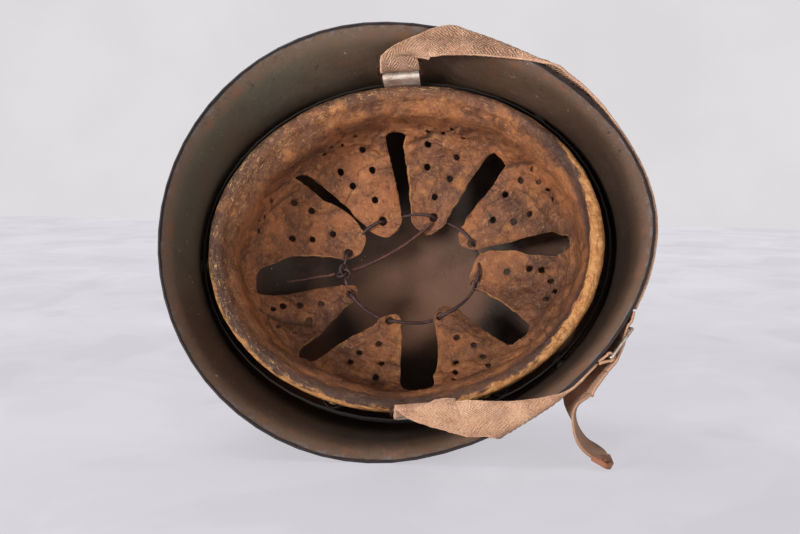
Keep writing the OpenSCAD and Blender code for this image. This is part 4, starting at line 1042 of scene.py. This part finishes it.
def make_tape(name, stations, body, node, wide=14, per_station=6, ripple=0.25, dull=(0, 0)):
    """A tape through its stations; dull is how dark it is at its start and at its end."""
    rows = per_station * (len(stations) - 1)
    lines = [cross_line(stations, row / rows) for row in range(rows + 1)]
    middles = [on_line(line, 0.5)[0] for line in lines]
    run = [0.0]
    for a, b in zip(middles, middles[1:]):
        run.append(run[-1] + (b - a).length)
    mesh = bmesh.new()
    tape_map = mesh.loops.layers.uv.new("tape")
    rim_layer = mesh.verts.layers.float.new("rim")
    dull_layer = mesh.verts.layers.float.new("dull")
    spots = {}
    for vert, column, row in flat_grid(mesh, wide, rows):
        there, width = on_line(lines[row], column / wide)
        at_rim = column in (0, wide)
        fray = ripple * (noise.noise(there * 0.3) + noise.noise(there * 1.1)) if at_rim else 0.0
        line_way = (lines[row][-1] - lines[row][0]).normalized()
        spots[vert] = (run[row] * MM, column / wide * width * MM)
        vert[rim_layer] = 1.0 if at_rim else 0.0
        vert[dull_layer] = dull[0] + (dull[1] - dull[0]) * row / rows
        vert.co = there + line_way * fray * (1 if column else -1)
    mesh.normal_update()
    steps = {v: v.normal * ripple * 0.6 * noise.noise(v.co * 0.12 + Vector((7, 1, 3))) for v in mesh.verts}
    for vert, step in steps.items():
        vert.co = (vert.co + step) * MM
    for face in mesh.faces:
        for loop in face.loops:
            loop[tape_map].uv = spots[loop.vert]
    piece = mesh_piece(name, mesh, webbing_finish, "webbing", body, node, smooth_angle=70)
    give_thickness(piece, tape_thick)
    print(name, "is", round(run[-1], 1), "mm long")
    return piece


# %% [markdown]
# ## The chinstrap's two halves
# The long half leaves the upper bail bunched up, turns over the brim and lies along its outside round
# the front. The short half does the same from the lower bail. Their cross lines are the CAD model's
# own, in millimetres.
# Round the bail's bar the tape is bunched: a list gives its places there, their half width and how
# far the tape's four threads lift off the line.

# %% The long and short halves
long_half = [
    [(2.7, -32.4, 231.2), (-4.4, -32.6, 230.6), (-11.1, -32.7, 230.0), (-18.2, -32.9, 229.3)],
    [(2.0, -34.1, 230.9), (-4.1, -34.1, 231.2), (-9.9, -34.0, 231.5), (-16.0, -33.9, 231.8)],
    [(2.2, -35.8, 229.8), (-2.3, -35.3, 231.8), (-6.5, -34.7, 233.7), (-11.0, -34.2, 235.7)],
    [(3.8, -36.3, 229.1), (1.2, -35.4, 232.5), (-1.2, -34.5, 235.8), (-3.8, -33.5, 239.3)],
    [(7.1, -35.6, 228.6), (5.9, -34.3, 233.4), (4.8, -33.1, 237.9), (3.6, -31.8, 242.6)],
    [(10.4, -34.6, 228.0), (10.6, -32.9, 234.2), (10.8, -31.3, 240.1), (10.9, -29.6, 246.3)],
    [(10.4, -34.5, 229.3), (12.7, -31.0, 242.2), (13.2, -30.3, 245.0), (13.6, -29.7, 246.9)],
    [(14.7, -34.7, 230.0), (17.5, -31.0, 243.5), (18.0, -30.2, 246.3), (18.4, -29.7, 248.3)],
    [(20.6, -34.7, 230.7), (24.1, -30.8, 245.1), (24.9, -29.4, 248.1), (25.0, -26.4, 247.9)],
    [(26.8, -34.2, 230.9), (30.8, -30.3, 245.2), (31.3, -27.2, 246.2), (31.0, -24.8, 244.2)],
    [(33.7, -33.8, 230.8), (37.7, -30.4, 243.2), (38.1, -28.0, 243.9), (37.4, -23.2, 240.1)],
    [(41.7, -33.8, 230.5), (45.5, -31.0, 240.6), (45.9, -28.8, 241.3), (44.7, -21.8, 235.9)],
    [(56.9, -34.2, 229.2), (59.7, -32.6, 235.1), (60.3, -30.2, 235.7), (58.0, -18.9, 227.4)],
    [(69.2, -35.2, 227.8), (70.5, -34.6, 230.0), (71.4, -31.3, 230.9), (68.0, -16.4, 220.4)],
    [(74.5, -36.0, 226.9), (75.8, -34.8, 228.9), (76.0, -30.9, 228.2), (72.4, -15.4, 217.5)],
    [(80.2, -36.7, 226.4), (81.2, -32.5, 227.0), (80.6, -29.9, 225.3), (76.8, -14.4, 214.7)],
    [(86.4, -34.6, 225.1), (86.0, -31.4, 223.7), (85.4, -29.1, 222.1), (81.4, -13.5, 211.7)],
    [(92.0, -32.7, 220.9), (91.5, -31.0, 219.8), (90.9, -28.7, 218.3), (86.7, -13.1, 208.0)],
    [(102.4, -33.9, 212.5), (101.9, -32.3, 211.5), (101.2, -30.0, 210.0), (96.5, -14.3, 200.1)],
    [(112.0, -37.4, 202.3), (111.4, -35.7, 201.3), (110.6, -33.4, 199.9), (105.4, -17.7, 190.3)],
    [(120.8, -41.3, 190.4), (120.2, -39.6, 189.4), (119.3, -37.3, 188.0), (113.3, -21.5, 179.0)],
    [(128.9, -45.0, 177.8), (128.2, -43.3, 176.9), (127.2, -40.9, 175.7), (120.4, -25.2, 167.2)],
    [(135.8, -48.6, 164.7), (135.0, -46.9, 163.9), (133.8, -44.5, 162.7), (126.2, -28.8, 155.1)],
    [(141.1, -52.9, 148.9), (140.2, -51.2, 148.2), (138.9, -48.8, 147.2), (130.4, -32.9, 140.9)],
    [(143.0, -56.8, 134.5), (142.1, -55.1, 134.0), (140.7, -52.6, 133.3), (131.9, -36.3, 128.7)],
    [(141.7, -61.2, 118.2), (140.8, -59.5, 117.9), (139.5, -56.9, 117.4), (131.2, -40.0, 114.3)],
    [(137.2, -65.9, 101.2), (136.4, -64.0, 101.0), (135.2, -61.4, 100.7), (127.7, -43.9, 98.6)],
    [(130.9, -69.8, 86.8), (130.2, -67.9, 86.7), (129.2, -65.2, 86.5), (122.4, -47.4, 85.1)],
]
short_half = [
    [(17.5, -87.1, 32.5), (10.4, -87.3, 31.9), (3.7, -87.4, 31.3), (-3.4, -87.6, 30.6)],
    [(17.7, -88.5, 33.4), (11.1, -88.9, 32.0), (4.8, -89.3, 30.6), (-1.8, -89.7, 29.2)],
    [(18.9, -89.4, 35.1), (13.7, -90.3, 31.9), (8.9, -91.1, 28.9), (3.7, -92.0, 25.7)],
    [(21.8, -89.4, 36.3), (18.8, -90.7, 31.5), (16.0, -91.9, 27.1), (13.0, -93.2, 22.3)],
    [(26.2, -88.5, 36.7), (25.4, -90.0, 30.8), (24.7, -91.6, 25.3), (23.9, -93.1, 19.4)],
    [(29.7, -87.2, 36.5), (31.1, -89.1, 29.8), (32.4, -90.8, 23.4), (33.7, -92.7, 16.7)],
    [(30.6, -87.2, 35.0), (36.7, -91.2, 20.1), (37.8, -91.9, 17.5), (38.5, -92.4, 15.7)],
    [(38.0, -87.4, 35.7), (45.1, -91.5, 20.5), (46.3, -92.2, 17.9), (47.1, -92.7, 16.2)],
    [(41.8, -87.7, 35.7), (49.4, -91.9, 20.3), (50.6, -92.6, 17.7), (51.6, -92.9, 15.7)],
    [(46.1, -87.8, 35.6), (54.2, -92.1, 20.0), (55.8, -92.4, 16.9), (56.0, -89.7, 15.6)],
    [(51.5, -87.5, 35.4), (59.8, -91.5, 20.6), (60.6, -89.2, 18.3), (60.0, -86.3, 18.7)],
    [(57.4, -87.0, 35.4), (64.7, -90.4, 23.1), (65.4, -88.6, 21.4), (64.2, -82.6, 22.0)],
    [(62.9, -86.9, 35.7), (69.3, -89.6, 25.7), (70.0, -87.9, 24.1), (68.1, -79.3, 24.9)],
    [(75.8, -86.4, 37.4), (79.6, -87.8, 32.3), (80.3, -86.1, 30.7), (77.0, -71.9, 31.7)],
    [(82.9, -86.0, 38.9), (85.1, -86.7, 36.3), (85.9, -85.0, 34.7), (81.7, -67.9, 35.6)],
    [(89.4, -85.5, 40.6), (90.6, -85.4, 39.1), (90.5, -82.8, 38.5), (85.8, -64.3, 39.3)],
    [(95.2, -84.2, 42.7), (95.1, -82.4, 42.3), (94.4, -79.6, 42.3), (89.6, -61.1, 42.9)],
    [(100.3, -81.6, 46.7), (99.7, -79.6, 46.7), (99.0, -76.9, 46.8), (94.0, -58.4, 47.1)],
    [(109.4, -78.1, 56.1), (108.8, -76.2, 56.1), (108.0, -73.5, 56.1), (102.6, -55.1, 56.0)],
]


def middle_of(line):
    return sum((Vector(place) for place in line), Vector()) / len(line)


def swing_at(joint_name):
    """A joint's place in millimetres."""
    return Vector(next(joint["pos_m"] for joint in frame["joints"] if joint["name"] == joint_name)) / MM


def blend_tape(piece, before, first, last):
    """Bakes a tape's place into its mesh; it bends nothing, and before is not used."""
    tuple(middle_of(first) * MM)
    tuple(middle_of(last) * MM)
    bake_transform(piece)


def wrapped_start(joint, stations):
    """Cross lines that carry a strap's outer layer on, bunched, round its bail's bar."""
    away = (middle_of(stations[0]) - swing_at(joint)).normalized()
    over = front_way.cross(away).normalized()
    over = over if over.y < 0 else -over
    bar = swing_at(joint) + bar_reach * away
    return [[bar + x * away + (y + bunch * lift) * over + half * side * front_way for side, lift in gathers]
            for x, y, half, bunch in round_the_bar]


bar_reach = 13
gathers = ((1, 0.2), (1 / 3, 1.1), (-1 / 3, -0.5), (-1, 0.8))
round_the_bar = ((-2.6, -3.0, 10.6, 0.2), (-4.1, 0.2, 11.0, 0.3), (-2.4, 3.3, 11.4, 0.6),
                 (1.6, 3.6, 11.6, 1.0), (5.0, 2.0, 11.2, 0.7))
halves = {
    "webbing_long_half": (long_half, "bail_right", "strap_long"),
    "webbing_short_half": (short_half, "bail_left", "strap_short"),
}
for name, (stations, bail, node) in halves.items():
    piece = make_tape(name, wrapped_start(bail + "_swing", stations) + stations, None, node)
    blend_tape(piece, bail, stations[0], stations[7])

# %% [markdown]
# ## Loops sewn round a bar
# Each end of the webbing is turned round a wire and sewn to itself. The same tape builder makes the
# loop: its cross lines start on the sewn leg, go round the bar and come back along the other leg.

# %% The sewn loops
def loop_lines(bar, away, bar_way, radius, length, width):
    """Cross lines of a tape that goes round a bar and is sewn together away from it."""
    over = bar_way.cross(away).normalized()
    leg = tape_thick / 2 + 0.05
    turns = [math.radians(degrees) for degrees in range(50, 311, 20)]
    trail = [(length, leg), ((length + radius) / 2, leg + 0.2)]
    trail += [(radius * math.cos(turn), radius * math.sin(turn)) for turn in turns]
    trail += [((length + radius) / 2, -leg - 0.2), (length, -leg)]
    return [[bar + x * away + y * over + side * width / 2 * bar_way for side in (-1, 1)] for x, y in trail]


for side, stations in (("right", long_half), ("left", short_half)):
    pivot = swing_at(f"bail_{side}_swing")
    away = (middle_of(stations[0]) - pivot).normalized()
    lines = loop_lines(pivot + bar_reach * away, away, front_way, 2.45, 7.5, 21)
    make_tape(f"webbing_{side}_loop", lines, f"bail_{side}", f"strap_loop_{side}", per_station=3)

# %% [markdown]
# ## At the buckle
# The short half is sewn round the buckle's last bar. The long half weaves under the first bar, over
# the second and over that sewn end, and then hangs free. The weave moves with the buckle.

# %% The sewn end, the weave and the free end
weave = [
    [(130.0, -70.7, 85.6), (122.5, -47.9, 84.8)],
    [(129.5, -71.0, 83.0), (122.0, -48.2, 82.2)],
    [(128.9, -71.2, 80.3), (121.5, -48.5, 79.5)],
    [(127.8, -71.7, 78.7), (120.3, -48.9, 77.9)],
    [(126.6, -72.1, 77.2), (119.2, -49.3, 76.4)],
    [(125.5, -72.7, 71.8), (118.0, -49.9, 71.0)],
    [(124.3, -73.2, 66.5), (116.9, -50.4, 65.7)],
    [(122.3, -74.1, 61.9), (114.8, -51.3, 61.1)],
    [(120.3, -74.9, 57.3), (112.8, -52.1, 56.5)],
    [(117.9, -75.8, 54.5), (110.4, -53.0, 53.7)],
    [(115.5, -76.7, 51.7), (108.0, -53.9, 50.9)],
]
free_end = [
    [(115.4, -76.7, 51.4), (107.6, -54.0, 50.4)],
    [(112.2, -78.0, 47.3), (103.9, -55.5, 47.6)],
    [(108.1, -78.7, 41.0), (100.0, -56.7, 45.9)],
    [(107.4, -78.1, 38.2), (93.6, -58.6, 40.6)],
    [(107.0, -78.5, 38.9), (92.1, -59.9, 35.8)],
    [(105.6, -79.7, 38.7), (92.5, -60.8, 31.9)],
    [(103.8, -81.3, 37.3), (93.4, -61.4, 28.9)],
    [(98.7, -84.2, 34.5), (96.8, -63.5, 22.5)],
    [(96.0, -87.2, 29.5), (100.7, -67.3, 16.9)],
    [(96.1, -91.2, 22.8), (105.1, -71.5, 12.4)],
    [(97.4, -94.4, 16.8), (109.6, -74.9, 10.2)],
    [(100.7, -96.3, 11.5), (113.8, -80.7, 8.1)],
    [(106.2, -97.4, 7.1), (115.8, -87.3, 6.3)],
]

buckle_long = Vector((-0.57154, -0.215657, -0.791729))
buckle_across = Vector((-0.311632, 0.949605, -0.0336961))
buckle_out = Vector((0.759096, 0.227469, -0.609943))
leg_way = (6.72 * buckle_long - 3.806 * buckle_out).normalized()
sewn_lines = loop_lines(swing_at("buckle_swing"), leg_way, buckle_across, 2.3, 7.4, 24)
make_tape("webbing_sewn_end", sewn_lines, "helmet", "buckle_eye", per_station=3)
make_tape("webbing_weave", weave, "buckle", "strap_weave", ripple=0.15, dull=(0, 0.3))
tail_piece = make_tape("webbing_free_end", free_end, None, "strap_tail", ripple=0.2, dull=(0.3, 1))
blend_tape(tail_piece, "buckle", free_end[0], free_end[1])

# %% [markdown]
# ## Floor and wall
# The helmet lies on a pale cloth before a pale wall. Wall and far cloth show their own colour to the
# camera, so they need no light, and near the helmet the cloth keeps its shadow. A faint painted shade
# and painted highlight of rumples stand for the cloth's wrinkles.

# %% Floor and wall
def make_stage_paint(name, colour, wrinkle_shading_share=0.0, near_share=1.0):
    """Plain paint. The camera, a reflection or clear glass sees its own colour: near_share of it
    close by, all of it far away. The rest of what they see is the paint as the lamps light it."""
    paint = Paint(name, 0.9, specular=0.1)
    turned = {"Vector": paint.where, "Scale": (1.0, 0.55, 1.0), "Rotation": (0, 0, 0.5)}
    rumple = paint.noise(7, 3, 0.55, 0.8, paint.add("Mapping", turned))
    darker, shaded, wrinkle_highlight = [[c + step for c in colour] for step in (-6, -22, 9)]
    paint.base(paint.noise(2.5, 4, 0.5).fade(0.3, 0.7), colour, darker)
    # Painted shade and painted highlight of the cloth's wrinkles.
    paint.coats((rumple.fade(0.5, 0.62) * wrinkle_shading_share, shaded), (rumple.fade(0.46, 0.36) * wrinkle_shading_share, wrinkle_highlight))
    camera_sees, mirror_sees, glass_sees = [
        paint.add("LightPath", output=f"Is {ray} Ray") for ray in ("Camera", "Glossy", "Transmission")]
    distance = paint.add("VectorMath", {0: paint.where}, "Value", operation="LENGTH")
    far = near_share + distance.fade(0.25, 1.3) * (1 - near_share)
    seen = camera_sees.at_least(mirror_sees).at_least(glass_sees) * far
    lit = Value(paint.tree, paint.shader.outputs[0])
    plain = paint.add("Emission", {"Color": paint.colour, "Strength": 1.0})
    both = paint.add("MixShader", {0: seen, 1: lit, 2: plain})
    surface = next(node for node in paint.tree.nodes if node.type == "OUTPUT_MATERIAL").inputs["Surface"]
    feed(paint.tree, surface, both)
    return paint.done()


def make_sheet(name, corners, paint):
    mesh = bmesh.new()
    mesh.faces.new([mesh.verts.new(corner) for corner in corners])
    data = bpy.data.meshes.new(name)
    mesh.to_mesh(data)
    mesh.free()
    data.materials.append(paint)
    into_scene(name, data)


cloth_paint = make_stage_paint("floor_cloth", (222, 220, 226), wrinkle_shading_share=0.28, near_share=0.74)
wall_paint = make_stage_paint("wall_paint", (225, 223, 225))
make_sheet("floor", [(-8, -6, 0), (8, -6, 0), (8, 3.4, 0), (-8, 3.4, 0)], cloth_paint)
make_sheet("wall", [(-8, 3.4, -0.1), (8, 3.4, -0.1), (8, 3.4, 6), (-8, 3.4, 6)], wall_paint)
print("stage set")

# %% [markdown]
# ## Lamps and world
# Two soft lamps stand left and right at the helmet's own height, so light reaches the crown but the
# slots stay dark, and a lamp overhead with an even world light the cloth. Each lamp is given by its
# place, what it is aimed at, its width in metres and its power in watts.

# %% Lamps and world
lamps = {
    "left_box": ((-1.3, -1.75, 0.34), (0, 0, 0.13), 0.5, 40),
    "right_box": ((1.2, -1.8, 0.18), (0, 0, 0.13), 0.7, 15),
    "overhead": ((-0.7, 0.5, 1.9), (0, 0, 0.0), 1.5, 20),
}
for name, (place, aim, width, power) in lamps.items():
    data = bpy.data.lights.new(name, "AREA")
    data.shape = "DISK"
    data.size = width
    data.energy = power
    into_scene(name, data).matrix_world = looking(Vector(place), Vector(aim))
world = bpy.data.worlds.new("studio")
bpy.context.scene.world = world
world.use_nodes = True
world.node_tree.nodes["Background"].inputs["Color"].default_value = (0.97, 0.97, 1.0, 1.0)
world.node_tree.nodes["Background"].inputs["Strength"].default_value = 0.34
bpy.context.scene.view_settings.view_transform = "Standard"
print("lamps:", len(lamps))

# %% [markdown]
